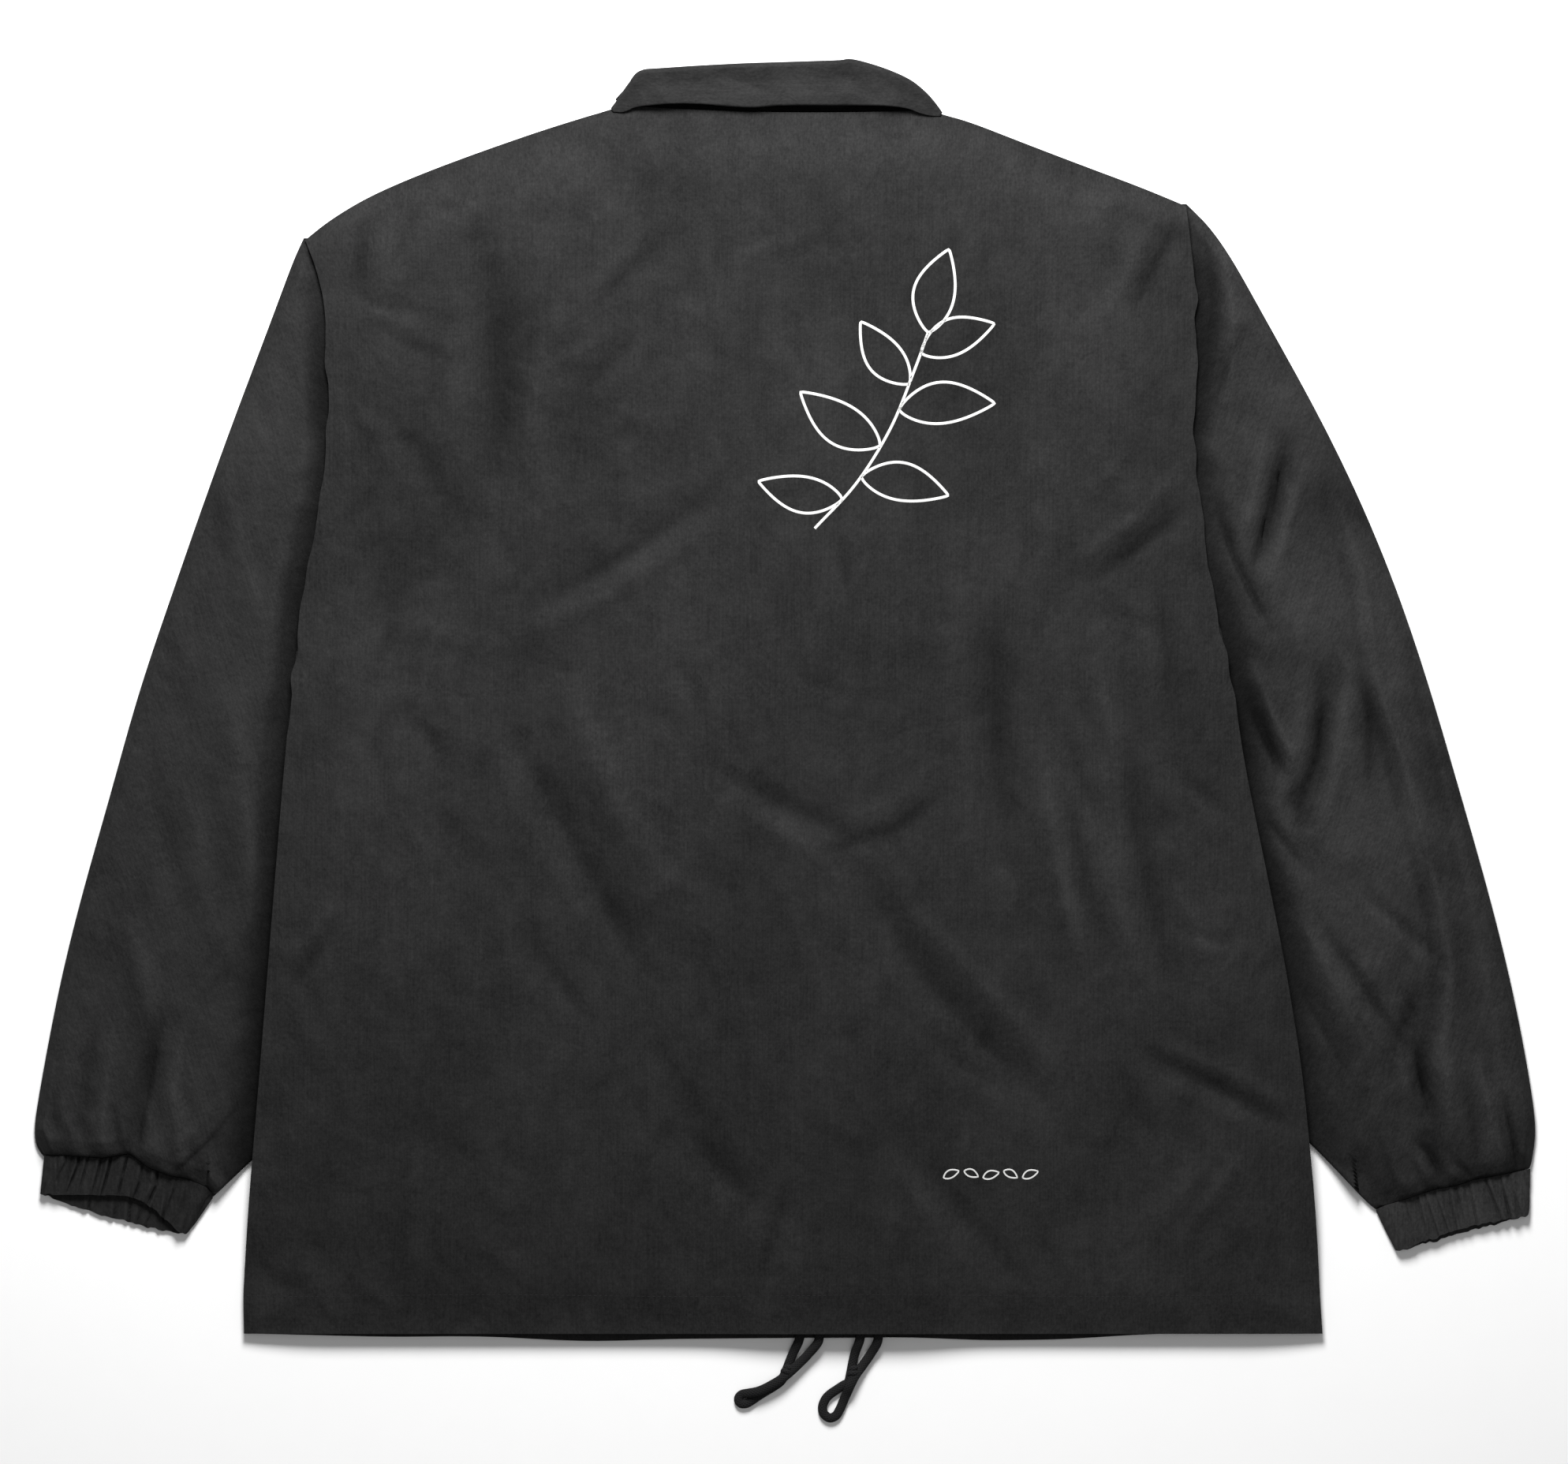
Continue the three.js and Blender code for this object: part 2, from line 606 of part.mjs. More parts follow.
// A cuff: plain lower wall, upper wall gathered by its elastic
function cuff(side, seam) {
  const end = cuffEnds[side];
  const lowCells = 14;
  const topCells = cuffWaves * 3;
  const bend = cuffWall * 2 + cuffHollow;
  const length = Math.hypot(seam.inX - seam.outX, seam.inY - seam.outY);
  const down = [
    ((seam.inY - seam.outY) / length) * -outSign[side],
    ((seam.inX - seam.outX) / length) * outSign[side],
  ];
  const levels = [0, 0.36, 0.68, 1];
  const plan = (share, level, reach) => {
    const row = {
      outX: lerp(seam.outX + down[0] * seamGap, end.outX, level),
      outY: lerp(seam.outY + down[1] * seamGap, end.outY, level),
      inX: lerp(seam.inX + down[0] * seamGap, end.inX, level),
      inY: lerp(seam.inY + down[1] * seamGap, end.inY, level),
    };
    const span = Math.hypot(row.inX - row.outX, row.inY - row.outY);
    const t = lerp(bend / 2 / span, 1 - bend / 2 / span, share);
    const slip = reach * Math.sin(Math.PI * share) * level;
    return [
      lerp(row.outX, row.inX, t) + down[0] * slip,
      lerp(row.outY, row.inY, t) + down[1] * slip,
    ];
  };
  const grid = levels.map((level) => {
    const lower = [];
    for (let i = 0; i <= lowCells; i++) lower.push(plan(i / lowCells, level, end.bow));
    const upper = [];
    for (let i = 0; i <= topCells; i++) {
      const crest = [0, 1, 0.45][i % 3] * (0.75 + 0.25 * Math.cos(i * 1.7));
      const top = bend + cuffWaveHeight * crest * smooth(Math.min(i, topCells - i) / 3);
      upper.push([...plan(i / topCells, level, -end.short), top, bend - cuffWall]);
    }
    return flatRing(lower, upper.reverse(), cuffWall);
  });
  return wall(`cuff_${side}`, grid, cuffCloth, true);
}

// One section of the collar: seam to roll, round the roll, and down to the outer edge
function collarSection(at) {
  const nodes = [];
  const toRoll = [at.rollX - at.seamX, at.rollY - at.seamY];
  const rise = Math.hypot(...toRoll);
  const dir = [toRoll[0] / rise, toRoll[1] / rise];
  const turn = THREE.MathUtils.degToRad(at.turn);
  const out = [-dir[1] * at.outward, dir[0] * at.outward];
  if (out[0] * at.outward < 0) out.forEach((v, i) => (out[i] = -v));
  const place = (x, y, lift) => [
    x + out[0] * Math.sin(turn) * lift,
    y + out[1] * Math.sin(turn) * lift,
    at.axisZ + Math.cos(turn) * lift,
  ];
  const near = collar.inner;
  for (const share of [0, 0.5, 1]) {
    const x = lerp(at.seamX, at.rollX, share);
    const y = lerp(at.seamY, at.rollY, share);
    nodes.push({ under: place(x, y, near), over: place(x, y, near + cloth) });
  }
  const middle = near + cloth + at.gap / 2;
  for (let i = 1; i < collar.rollCells; i++) {
    const angle = (Math.PI * i) / collar.rollCells;
    const swing = (radius) =>
      place(
        at.rollX + dir[0] * radius * Math.sin(angle),
        at.rollY + dir[1] * radius * Math.sin(angle),
        middle - radius * Math.cos(angle),
      );
    nodes.push({ under: swing(at.gap / 2 + cloth), over: swing(at.gap / 2) });
  }
  for (const share of [0, 0.35, 0.7, 1]) {
    const x = lerp(at.rollX, at.edgeX, share);
    const y = lerp(at.rollY, at.edgeY, share);
    const lift = near + cloth + at.gap + at.lift * share ** 2;
    nodes.push({ under: place(x, y, lift + cloth), over: place(x, y, lift) });
  }
  return nodes;
}

// Half a collar in front, its seam made from the neck edge of its own front
function collarFrontSections(side, grid) {
  const sign = outSign[side];
  const middle = (neck.left.x + neck.right.x) / 2;
  const top = grid[rowCount - 1];
  const list = [];
  top.forEach((node, i) => {
    const [x, y, low] = node.under;
    const out = (x - middle) * sign;
    const onCollar = (x - closureX(y)) * sign > collar.endGap - 0.5;
    if (!onCollar || neckShare(x) > 0.97) return;
    const last = top[Math.max(i - 1, 0)].under;
    const next = top[Math.min(i + 1, top.length - 1)].under;
    const slope = Math.hypot(next[0] - last[0], next[1] - last[1]);
    const row = (name) => read(collarFront, "share", neckShare(x), name);
    const seamX = x - ((next[1] - last[1]) / slope) * seamGap;
    const seamY = y + ((next[0] - last[0]) / slope) * seamGap;
    list.push({
      order: out,
      seamX,
      seamY,
      rollX: seamX + row("rollOut") * sign,
      rollY: seamY + row("rollUp"),
      edgeX: seamX + row("edgeOut") * sign,
      edgeY: seamY + row("edgeUp"),
      turn: 180,
      outward: sign,
      axisZ: low + cloth + collar.inner,
      gap: low - cloth,
      lift: 0,
    });
  });
  return list.sort((a, b) => a.order - b.order);
}

// The collar turns from the front layer to the back layer round the side of the neck
function collarSideSections(side) {
  const place = collarSides[side];
  const shoulder = backLow(neck[side].x, neck[side].y);
  const list = [];
  for (let turn = 180; turn >= 0; turn -= collar.turnStep) {
    const under = turn === 180;
    const front = collarFront[collarFront.length - 1];
    list.push({
      seamX: place.seamX,
      seamY: place.seamY,
      rollX: place.rollX,
      rollY: place.rollY,
      edgeX: under ? place.seamX + front.edgeOut * outSign[side] : place.edgeX,
      edgeY: under ? place.seamY + front.edgeUp : place.edgeY,
      turn,
      outward: outSign[side],
      axisZ: shoulder - collar.inner,
      gap: collarUnder - cloth,
      lift: 0,
    });
  }
  return list;
}

function collarBackSections() {
  const top = backGrid[rowCount - 1];
  const list = [];
  for (const node of top) {
    const [x, y, low] = node.under;
    const share = (x - neck.left.x) / (neck.right.x - neck.left.x);
    if (share < 0.02 || share > 0.98) continue;
    const middle = smooth(Math.min(share, 1 - share) / 0.2);
    list.push({
      seamX: x,
      seamY: y + seamGap,
      rollX: x + read(collarBack, "share", share, "rollX"),
      rollY: read(collarBack, "share", share, "rollY"),
      edgeX: x + read(collarBack, "share", share, "rollX") * 0.2,
      edgeY: lerp(collarFallEdge.leftY, collarFallEdge.rightY, share),
      turn: 0,
      outward: 1,
      axisZ: low - collar.inner,
      gap: lerp(collarUnder - cloth, collar.backGap, middle),
      lift: collar.edgeLift * middle,
    });
  }
  return list;
}

function collarMesh() {
  const sections = [
    ...collarFrontSections("left", leftGrid),
    ...collarSideSections("left"),
    ...collarBackSections(),
    ...collarSideSections("right").reverse(),
    ...collarFrontSections("right", rightGrid).reverse(),
  ];
  return wall("collar", sections.map(collarSection), shellCloth);
}

// A snap cap hangs close under the left front, its dome towards the floor
function snapMesh(y, number) {
  const top = leftLow(closureX(y), y) - 0.3;
  const profile = [
    new THREE.Vector2(0, 0),
    new THREE.Vector2(snap.radius - 1.6, 0),
    new THREE.Vector2(snap.radius, snap.rim),
    new THREE.Vector2(snap.radius, snap.high),
    new THREE.Vector2(0, snap.high),
  ];
  const geometry = new THREE.LatheGeometry(profile, 18);
  geometry.rotateX(Math.PI / 2);
  geometry.translate(closureX(y), y, top - snap.high);
  return solid(`snap_${number}`, geometry, snapCap);
}

function eyeletMesh(side) {
  const profile = [
    new THREE.Vector2(eyelet.hole, 0),
    new THREE.Vector2(eyelet.radius, 0),
    new THREE.Vector2(eyelet.radius - 0.4, eyelet.high),
    new THREE.Vector2(eyelet.hole + 0.3, eyelet.high),
    new THREE.Vector2(eyelet.hole, 0),
  ];
  const geometry = new THREE.LatheGeometry(profile, 18);
  geometry.rotateX(Math.PI / 2);
  geometry.translate(eyelets[side].x, eyelet.y, eyelets[side].z);
  return solid(`eyelet_${side}`, geometry, eyeletMetal);
}

// A stretch of flat cord along its route
function cordMesh(name, route) {
  const curve = new THREE.CatmullRomCurve3(route.points.map((p) => new THREE.Vector3(...p)));
  const outline = new THREE.Shape();
  for (let i = 0; i < cord.sides; i++) {
    const angle = (2 * Math.PI * (i + 0.5)) / cord.sides;
    const across = (Math.cos(angle) * cord.high) / 2;
    const along = (Math.sin(angle) * cord.wide) / 2;
    if (i === 0) outline.moveTo(across, along);
    else outline.lineTo(across, along);
  }
  outline.closePath();
  const options = { steps: route.steps, extrudePath: curve, curveSegments: 1 };
  return solid(name, new THREE.ExtrudeGeometry(outline, options), cordYarn);
}

function knotMesh(name, place) {
  const geometry = new THREE.SphereGeometry(1, 12, 8);
  geometry.scale(knotSize.long / 2, knotSize.wide / 2, knotSize.high / 2);
  geometry.rotateZ(Math.atan2(place.dirY, place.dirX));
  geometry.translate(place.x, place.y, knotSize.high / 2);
  return solid(name, geometry, cordYarn);
}

const jacket = new THREE.Group();
jacket.add(wall("back_panel", backGrid, shellCloth));
jacket.add(wall("front_left", leftGrid, shellCloth));
jacket.add(wall("front_right", rightGrid, shellCloth));
jacket.add(sleeve("left", leftRings));
jacket.add(sleeve("right", rightRings));
jacket.add(cuff("left", leftRings[leftRings.length - 1]));
jacket.add(cuff("right", rightRings[rightRings.length - 1]));
jacket.add(collarMesh());
snap.rows.forEach((y, i) => jacket.add(snapMesh(y, i + 1)));
jacket.add(eyeletMesh("left"));
jacket.add(eyeletMesh("right"));
for (const [name, route] of Object.entries(cordRoutes)) jacket.add(cordMesh(name, route));
for (const [name, place] of Object.entries(knots)) jacket.add(knotMesh(name, place));

export default jacket;
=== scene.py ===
# Coach jacket laid flat on its front: cloth, cords, stitching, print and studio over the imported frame.
import math
import bmesh
import bpy
import numpy as np
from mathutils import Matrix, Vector


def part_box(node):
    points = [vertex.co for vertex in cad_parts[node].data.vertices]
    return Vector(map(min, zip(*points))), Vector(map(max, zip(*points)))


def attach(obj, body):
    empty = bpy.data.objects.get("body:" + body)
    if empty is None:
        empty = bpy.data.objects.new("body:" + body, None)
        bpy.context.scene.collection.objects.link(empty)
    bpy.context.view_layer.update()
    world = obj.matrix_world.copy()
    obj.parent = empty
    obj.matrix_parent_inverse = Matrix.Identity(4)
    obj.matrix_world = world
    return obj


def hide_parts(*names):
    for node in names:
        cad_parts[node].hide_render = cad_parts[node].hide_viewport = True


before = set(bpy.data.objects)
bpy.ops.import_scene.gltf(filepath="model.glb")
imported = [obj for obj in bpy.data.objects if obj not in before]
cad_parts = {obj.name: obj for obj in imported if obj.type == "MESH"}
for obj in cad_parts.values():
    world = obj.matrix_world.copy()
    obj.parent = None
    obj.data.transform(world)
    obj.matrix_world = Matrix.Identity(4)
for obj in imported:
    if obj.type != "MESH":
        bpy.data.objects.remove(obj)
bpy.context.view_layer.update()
mm = 0.001
scene = bpy.context.scene
print("frame loaded")

studio = {
    "middle": (-0.0009, -0.0184),  # the camera looks straight down at this point
    "height": 5.0,
    "seenWidth": 0.9145,
    "sensor": 36.0,
    "keyPlace": (-0.08, 1.22, 1.0),
    "keySize": 0.7,
    "keyPower": 62.5,
    "fillPlace": (0.6, -0.4, 3.6),
    "fillSize": 3.0,
    "fillPower": 20,
    "worldStrength": 0.19,
    "floorHalf": 4,
    "floorDrop": -0.0004,
}


def makeCamera(s):
    data = bpy.data.cameras.new("camera")
    data.sensor_width = s["sensor"]
    data.lens = s["sensor"] * s["height"] / s["seenWidth"]
    data.clip_end = 50
    camera = bpy.data.objects.new("camera", data)
    camera.location = (*s["middle"], s["height"])
    scene.collection.objects.link(camera)
    scene.camera = camera


makeCamera(studio)


# Meshes. Shapes are worked out in millimetres and written in metres
def addObject(name, data):
    item = bpy.data.objects.new(name, data)
    scene.collection.objects.link(item)
    return item


def meshFrom(name, points, faces, material=None):
    mesh = bpy.data.meshes.new(name)
    mesh.from_pydata([tuple(p) for p in points], [], faces)
    mesh.polygons.foreach_set("use_smooth", [True] * len(mesh.polygons))
    if material:
        mesh.materials.append(material)
    return mesh


def evaluated(item):
    graph = bpy.context.evaluated_depsgraph_get()
    return bpy.data.meshes.new_from_object(item.evaluated_get(graph))


def readPoints(mesh):
    flat = np.empty(len(mesh.vertices) * 3)
    mesh.vertices.foreach_get("co", flat)
    return flat.reshape(-1, 3)


def writePoints(mesh, points):
    mesh.vertices.foreach_set("co", points.ravel())
    mesh.update()


# Opens a mesh for one change and writes it back
def edited(mesh, change):
    bm = bmesh.new()
    bm.from_mesh(mesh)
    change(bm)
    bm.to_mesh(mesh)
    bm.free()
    return mesh


def turnOutward(bm):
    bmesh.ops.recalc_face_normals(bm, faces=bm.faces)


# Every piece rides the one body, and takes the place of its solids
def seat(item, slot, *nodes):
    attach(item, "root")
    if nodes:
        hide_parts(*nodes)
    print(f"{item.name}: {len(item.data.polygons)} faces")


# Materials
def newMaterial(name):
    material = bpy.data.materials.new(name)
    material.use_nodes = True
    tree = material.node_tree
    return material, tree, tree.nodes["Principled BSDF"]


# Links an output to a socket or sets its value; in0, in1 and so on count the sockets
def plug(tree, node, inputs):
    for key, value in inputs.items():
        socket = node.inputs[int(key[2:])] if key.startswith("in") else node.inputs[key]
        if hasattr(value, "is_output"):
            tree.links.new(value, socket)
        else:
            socket.default_value = value


def addNode(tree, kind, settings=None, **inputs):
    node = tree.nodes.new(kind)
    for key, value in (settings or {}).items():
        setattr(node, key, value)
    plug(tree, node, inputs)
    return node


def calc(tree, operation, *values):
    inputs = {f"in{i}": value for i, value in enumerate(values)}
    return addNode(tree, "ShaderNodeMath", {"operation": operation}, **inputs).outputs[0]


# Size in metres across the grain, stretch times as long along it
def noiseField(tree, coords, size, stretch=1.0, detail=3.0):
    scaled = addNode(tree, "ShaderNodeMapping", Vector=coords, Scale=(1 / size, 1 / size / stretch, 1 / size))
    return addNode(tree, "ShaderNodeTexNoise", Vector=scaled.outputs[0], Scale=1.0, Detail=detail).outputs[0]


# Adds the parts, each by its share, round the value that the sum starts at
def weighted(tree, parts, start):
    total = start - sum(share for _, share in parts) / 2
    for output, share in parts:
        total = calc(tree, "MULTIPLY_ADD", output, share, total)
    return total


def tinted(colour, factor):
    return tuple(min(1, c * factor) for c in colour) + (1,)


def mixed(tree, share, dark, light):
    return addNode(tree, "ShaderNodeMix", {"data_type": "RGBA"}, in0=share, in6=dark, in7=light).outputs[2]


def bumped(tree, height, distance, strength=1.0, **under):
    bump = addNode(tree, "ShaderNodeBump", Height=height, Distance=distance, Strength=strength, **under)
    return bump.outputs[0]


def stripes(tree, vector, pitch, waver, direction="X"):
    return addNode(
        tree, "ShaderNodeTexWave", {"bands_direction": direction},
        Vector=vector, Scale=math.pi / 10 / pitch, Distortion=waver,
    ).outputs["Fac"]


clothLook = {
    "dark": (0.0068, 0.0068, 0.0069),
    "light": (0.0228, 0.0227, 0.0226),
    "hollow": 0.08,  # painted shade in the deepest folds, and painted highlight on the raised ones
    "raised": 1.3,
    "wearRange": (-0.75, 0.25),  # the painted shading value that stands for those two
    "wearShare": 0.25,
    "wearScale": 0.12,  # painted shading for each millimetre of fold
    "wearLimits": (-0.95, 0.3),
    "streak": (0.0009, 34, 0.26),  # size, stretch, share
    "mottle": (0.016, 1.3, 0.34),
    "grain": (0.0012, 1.6, 0.42),
    "patch": (0.10, 1.2, 0.16),
    "roughness": 0.66,
    "roughSpread": 0.06,
    "specular": 0.08,
    "crease": (0.024, 0.0011),  # size and height of the crumpled net
    "crinkle": (0.0048, 0.00065),  # size, height
    "threads": (0.00062, 0.00004),  # pitch, height
}


def clothMaterial(name, look, grainAngle=0.0, dye=1.0):
    material, tree, shader = newMaterial(name)
    coords = addNode(tree, "ShaderNodeTexCoord").outputs["Object"]
    grain = addNode(tree, "ShaderNodeMapping", Vector=coords, Rotation=(0, 0, grainAngle)).outputs[0]
    parts = []
    for key in ("streak", "mottle", "grain", "patch"):
        size, stretch, share = look[key]
        parts.append((noiseField(tree, grain, size, stretch, 4.0 if key == "mottle" else 2.0), share * 2))
    # Painted shade in folds and valleys and painted highlight on raised folds, read from a point attribute
    wear = addNode(tree, "ShaderNodeAttribute", {"attribute_name": "wear"}).outputs["Fac"]
    parts.append((wear, look["wearShare"]))
    share = addNode(tree, "ShaderNodeClamp", Value=weighted(tree, parts, 0.5)).outputs[0]
    # Each piece's copy of the cloth is scaled lighter or darker: painted light and shade for how light falls
    # on that piece
    colour = mixed(tree, share, tinted(look["dark"], dye), tinted(look["light"], dye))
    # Colour scaled darker in the hollows and lighter on the raised folds: painted shade and painted highlight
    low, high = look["wearRange"]
    depth = addNode(tree, "ShaderNodeMapRange", Value=wear,
                    in1=low, in2=high, in3=look["hollow"], in4=look["raised"]).outputs[0]
    shaded = addNode(tree, "ShaderNodeVectorMath", {"operation": "SCALE"}, in0=colour, Scale=depth)
    rough = addNode(tree, "ShaderNodeMapRange", Value=share,
                    in3=look["roughness"] + look["roughSpread"], in4=look["roughness"] - look["roughSpread"])
    size, height = look["crease"]
    scaled = addNode(tree, "ShaderNodeMapping", Vector=grain, Scale=(1 / size, 0.72 / size, 1 / size))
    net = addNode(
        tree, "ShaderNodeTexNoise", {"noise_type": "RIDGED_MULTIFRACTAL", "normalize": True},
        Vector=scaled.outputs[0], Scale=1.0, Detail=2.0, Distortion=0.5,
    ).outputs[0]
    bump = bumped(tree, net, height)
    size, height = look["crinkle"]
    bump = bumped(tree, noiseField(tree, grain, size, 1.4, 5.0), height, Normal=bump)
    pitch, height = look["threads"]
    weave = calc(tree, "MULTIPLY", *[stripes(tree, grain, pitch, 0.4, way) for way in ("X", "Y")])
    plug(tree, shader, {
        "Base Color": shaded.outputs[0],
        "Specular IOR Level": look["specular"],
        "Roughness": rough.outputs[0],
        "Normal": bumped(tree, weave, height, 0.6, Normal=bump),
    })
    return material


def flatMaterial(name, colour, roughness, metallic=0.0, grainSize=0.0006, bumpHeight=0.00003, spread=0.25):
    material, tree, shader = newMaterial(name)
    coords = addNode(tree, "ShaderNodeTexCoord").outputs["Object"]
    noise = noiseField(tree, coords, grainSize, 1.0, 4.0)
    plug(tree, shader, {
        "Base Color": mixed(tree, noise, tinted(colour, 1 - spread), tinted(colour, 1 + spread)),
        "Metallic": metallic,
        "Roughness": roughness,
        "Normal": bumped(tree, noise, bumpHeight),
    })
    return material


braidLook = {
    "colour": (0.013, 0.013, 0.0133),
    "gap": 0.45,  # painted shade between the plaits: how dark it is there
    "pitch": 0.0011,
    "slope": 38,
    "depth": 0.00025,
    "roughness": 0.85,
    "specular": 0.1,
}


def braidMaterial(name, look):
    material, tree, shader = newMaterial(name)
    uv = addNode(tree, "ShaderNodeTexCoord").outputs["UV"]
    waves = []
    for way in (1, -1):
        slope = (0, 0, way * math.radians(look["slope"]))
        leaned = addNode(tree, "ShaderNodeMapping", Vector=uv, Rotation=slope).outputs[0]
        waves.append(stripes(tree, leaned, look["pitch"], 0.3))
    # Darker between the plaits: painted shade
    plait = calc(tree, "MAXIMUM", *waves)
    plug(tree, shader, {
        "Base Color": mixed(tree, plait, tinted(look["colour"], look["gap"]), tinted(look["colour"], 1)),
        "Roughness": look["roughness"],
        "Specular IOR Level": look["specular"],
        "Normal": bumped(tree, plait, look["depth"], 0.9),
    })
    return material


cordYarn = braidMaterial("cordYarn", braidLook)

# Drawcords: each runs from its eyelet to the knot, round the loop, back through the knot and up again
drawcords = {
    "width": 5.4,
    "height": 2.4,
    "ringStep": 0.9,
    "ringSides": 14,
    "left": {
        "name": "drawcordLeft",
        "nodes": ("cord_left_strand_a", "cord_left_strand_b", "cord_left_loop"),
        "knotNode": "cord_left_knot",
        "knotName": "cordKnotLeft",
        "knot": (0.6, -391.3, -0.57, -0.82),
        "points": [
            (11.6, -354.8, 2.9), (11, -357.8, 3.1), (9.2, -365, 3.2), (7.8, -373, 3.4), (4.6, -380, 2.0),
            (2.4, -385.4, 1.4), (0.2, -391, 1.4), (-2.6, -396.7, 1.4), (-7.6, -400.4, 1.4),
            (-11.8, -402.9, 1.4), (-15.6, -405.3, 1.4), (-19.6, -408, 1.4), (-23, -409.9, 1.3),
            (-26.1, -409.8, 1.3), (-27.5, -407.3, 1.3), (-25.6, -404.7, 1.4), (-21.4, -403.7, 3.1),
            (-16.6, -402.7, 4.0), (-12.2, -401, 4.1), (-7.9, -398.7, 4.2), (-3.2, -395.9, 4.2),
            (2.4, -391.6, 3.8), (6.6, -387.7, 3.6), (13, -381.2, 3.6), (19.3, -373, 4.8),
            (18.6, -365, 4.8), (16.2, -357.8, 3.3), (15.4, -354.8, 3.1),
        ],
    },
    "right": {
        "name": "drawcordRight",
        "nodes": ("cord_right_strand_a", "cord_right_strand_b", "cord_right_loop"),
        "knotNode": "cord_right_knot",
        "knotName": "cordKnotRight",
        "knot": (39.6, -392.1, -0.2, -0.98),
        "points": [
            (46.4, -354.8, 4.8), (45.9, -357.8, 4.9), (44.4, -365, 4.9), (43.1, -373, 4.7),
            (40.6, -380, 2.3), (39.2, -385.8, 1.4), (38, -392, 1.4), (36.6, -397.4, 1.4),
            (33.5, -399.4, 1.4), (29.8, -401.9, 1.3), (26.2, -404.3, 1.3), (23.4, -407.2, 1.3),
            (21.6, -411.5, 1.3), (22.2, -415.6, 1.3), (25.6, -418.3, 1.3), (29.3, -417, 1.3),
            (31.7, -413.2, 1.3), (33.5, -409, 1.3), (35.2, -405, 2.2), (36.8, -401.4, 3.7),
            (38.2, -398.2, 4.2), (41, -393, 3.8), (44.8, -387.8, 2.6), (49.8, -380.6, 2.6),
            (53.8, -373, 4.7), (53.4, -365, 4.9), (51.3, -357.8, 4.9), (50.6, -354.8, 4.8),
        ],
    },
}


def runAlong(points):
    return np.concatenate([[0], np.cumsum(np.linalg.norm(np.diff(points, axis=0), axis=1))])


# An even run of points on a smooth line through the given ones
def throughPoints(points, step):
    p = np.array(points, dtype=float)
    p = np.vstack([2 * p[0] - p[1], p, 2 * p[-1] - p[-2]])
    fine = []
    for i in range(1, len(p) - 2):
        for t in np.linspace(0, 1, 12, endpoint=False):
            a, b, c, d = p[i - 1], p[i], p[i + 1], p[i + 2]
            fine.append(0.5 * (2 * b + (c - a) * t + (2 * a - 5 * b + 4 * c - d) * t**2
                               + (3 * b - a - 3 * c + d) * t**3))
    fine.append(p[-2])
    fine = np.array(fine)
    run = runAlong(fine)
    places = np.linspace(0, run[-1], max(2, round(run[-1] / step)) + 1)
    return np.stack([np.interp(places, run, fine[:, k]) for k in range(3)], axis=1), run[-1]


# Flat oval tube round the centres, its ends rounded, with a UV in metres along the yarn
def tubeMesh(name, centres, sides, halfWide, halfHigh, material, upright=None):
    tangents = np.gradient(centres, axis=0)
    tangents /= np.linalg.norm(tangents, axis=1)[:, None]
    points, faces, uvs = [], [], []
    run = runAlong(centres)
    for i, (centre, tangent) in enumerate(zip(centres, tangents)):
        up = np.array([0, 0, 1.0]) if upright is None else upright[i]
        side = np.cross(tangent, up)
        side /= np.linalg.norm(side)
        lift = np.cross(side, tangent)
        for k in range(sides):
            angle = 2 * math.pi * k / sides
            points.append(centre + side * math.cos(angle) * halfWide + lift * math.sin(angle) * halfHigh)
    rings = len(centres)
    around = math.pi * (halfWide + halfHigh)
    for i in range(rings - 1):
        for k in range(sides):
            n = (k + 1) % sides
            faces.append((i * sides + k, i * sides + n, (i + 1) * sides + n, (i + 1) * sides + k))
            low, high = around * k / sides, around * (k + 1) / sides
            uvs += [(low, run[i]), (high, run[i]), (high, run[i + 1]), (low, run[i + 1])]
    for ring, last in ((0, False), (rings - 1, True)):
        points.append(centres[ring] + tangents[ring] * halfHigh * (0.5 if last else -0.5))
        tip = len(points) - 1
        for k in range(sides):
            n = (k + 1) % sides
            a, b = ring * sides + k, ring * sides + n
            faces.append((tip, a, b) if last else (tip, b, a))
            uvs += [(0, run[ring])] * 3
    mesh = meshFrom(name, np.array(points) * mm, faces, material)
    layer = mesh.uv_layers.new(name="yarn")
    layer.data.foreach_set("uv", (np.array(uvs) * mm).ravel())
    return mesh


knotLook = {
    "height": 2.85,
    "turns": 2.4,
    "half": 3.3,  # half the length that is wound
    "rings": 74,
    "wind": (2.35, 1.6),  # half the width and height of a turn
    "yarn": (1.75, 1.15),
    "core": (4.4, 2.5, 2.0),
}


# Cord wound round a filled middle
def knotMesh(name, knot, look, material):
    x, y, dirX, dirY = knot
    along = np.array([dirX, dirY, 0]) / math.hypot(dirX, dirY)
    across = np.array([-along[1], along[0], 0])
    up = np.array([0, 0, 1.0])
    middle = np.array([x, y, look["height"]])
    wide, high = look["wind"]
    centres, ups = [], []
    for i in range(look["rings"]):
        t = i / (look["rings"] - 1)
        angle = 2 * math.pi * look["turns"] * t + 0.6
        taper = 0.55 + 0.45 * math.sin(math.pi * (0.08 + 0.84 * t))
        out = across * math.cos(angle) * wide * taper + up * math.sin(angle) * high * taper
        centres.append(middle + along * (2 * t - 1) * look["half"] + out)
        ups.append(out / np.linalg.norm(out))

    def addCore(bm):
        long, broad, deep = look["core"]
        verts = bmesh.ops.create_uvsphere(bm, u_segments=20, v_segments=12, radius=1)["verts"]
        for vert in verts:
            p = vert.co.copy()
            vert.co = Vector((middle + along * p.x * long + across * p.y * broad + up * p.z * deep) * mm)
        bmesh.ops.recalc_face_normals(bm, faces=list({f for v in verts for f in v.link_faces}))
        for face in bm.faces:
            face.smooth = True

    return edited(tubeMesh(name, np.array(centres), 10, *look["yarn"], material, np.array(ups)), addCore)


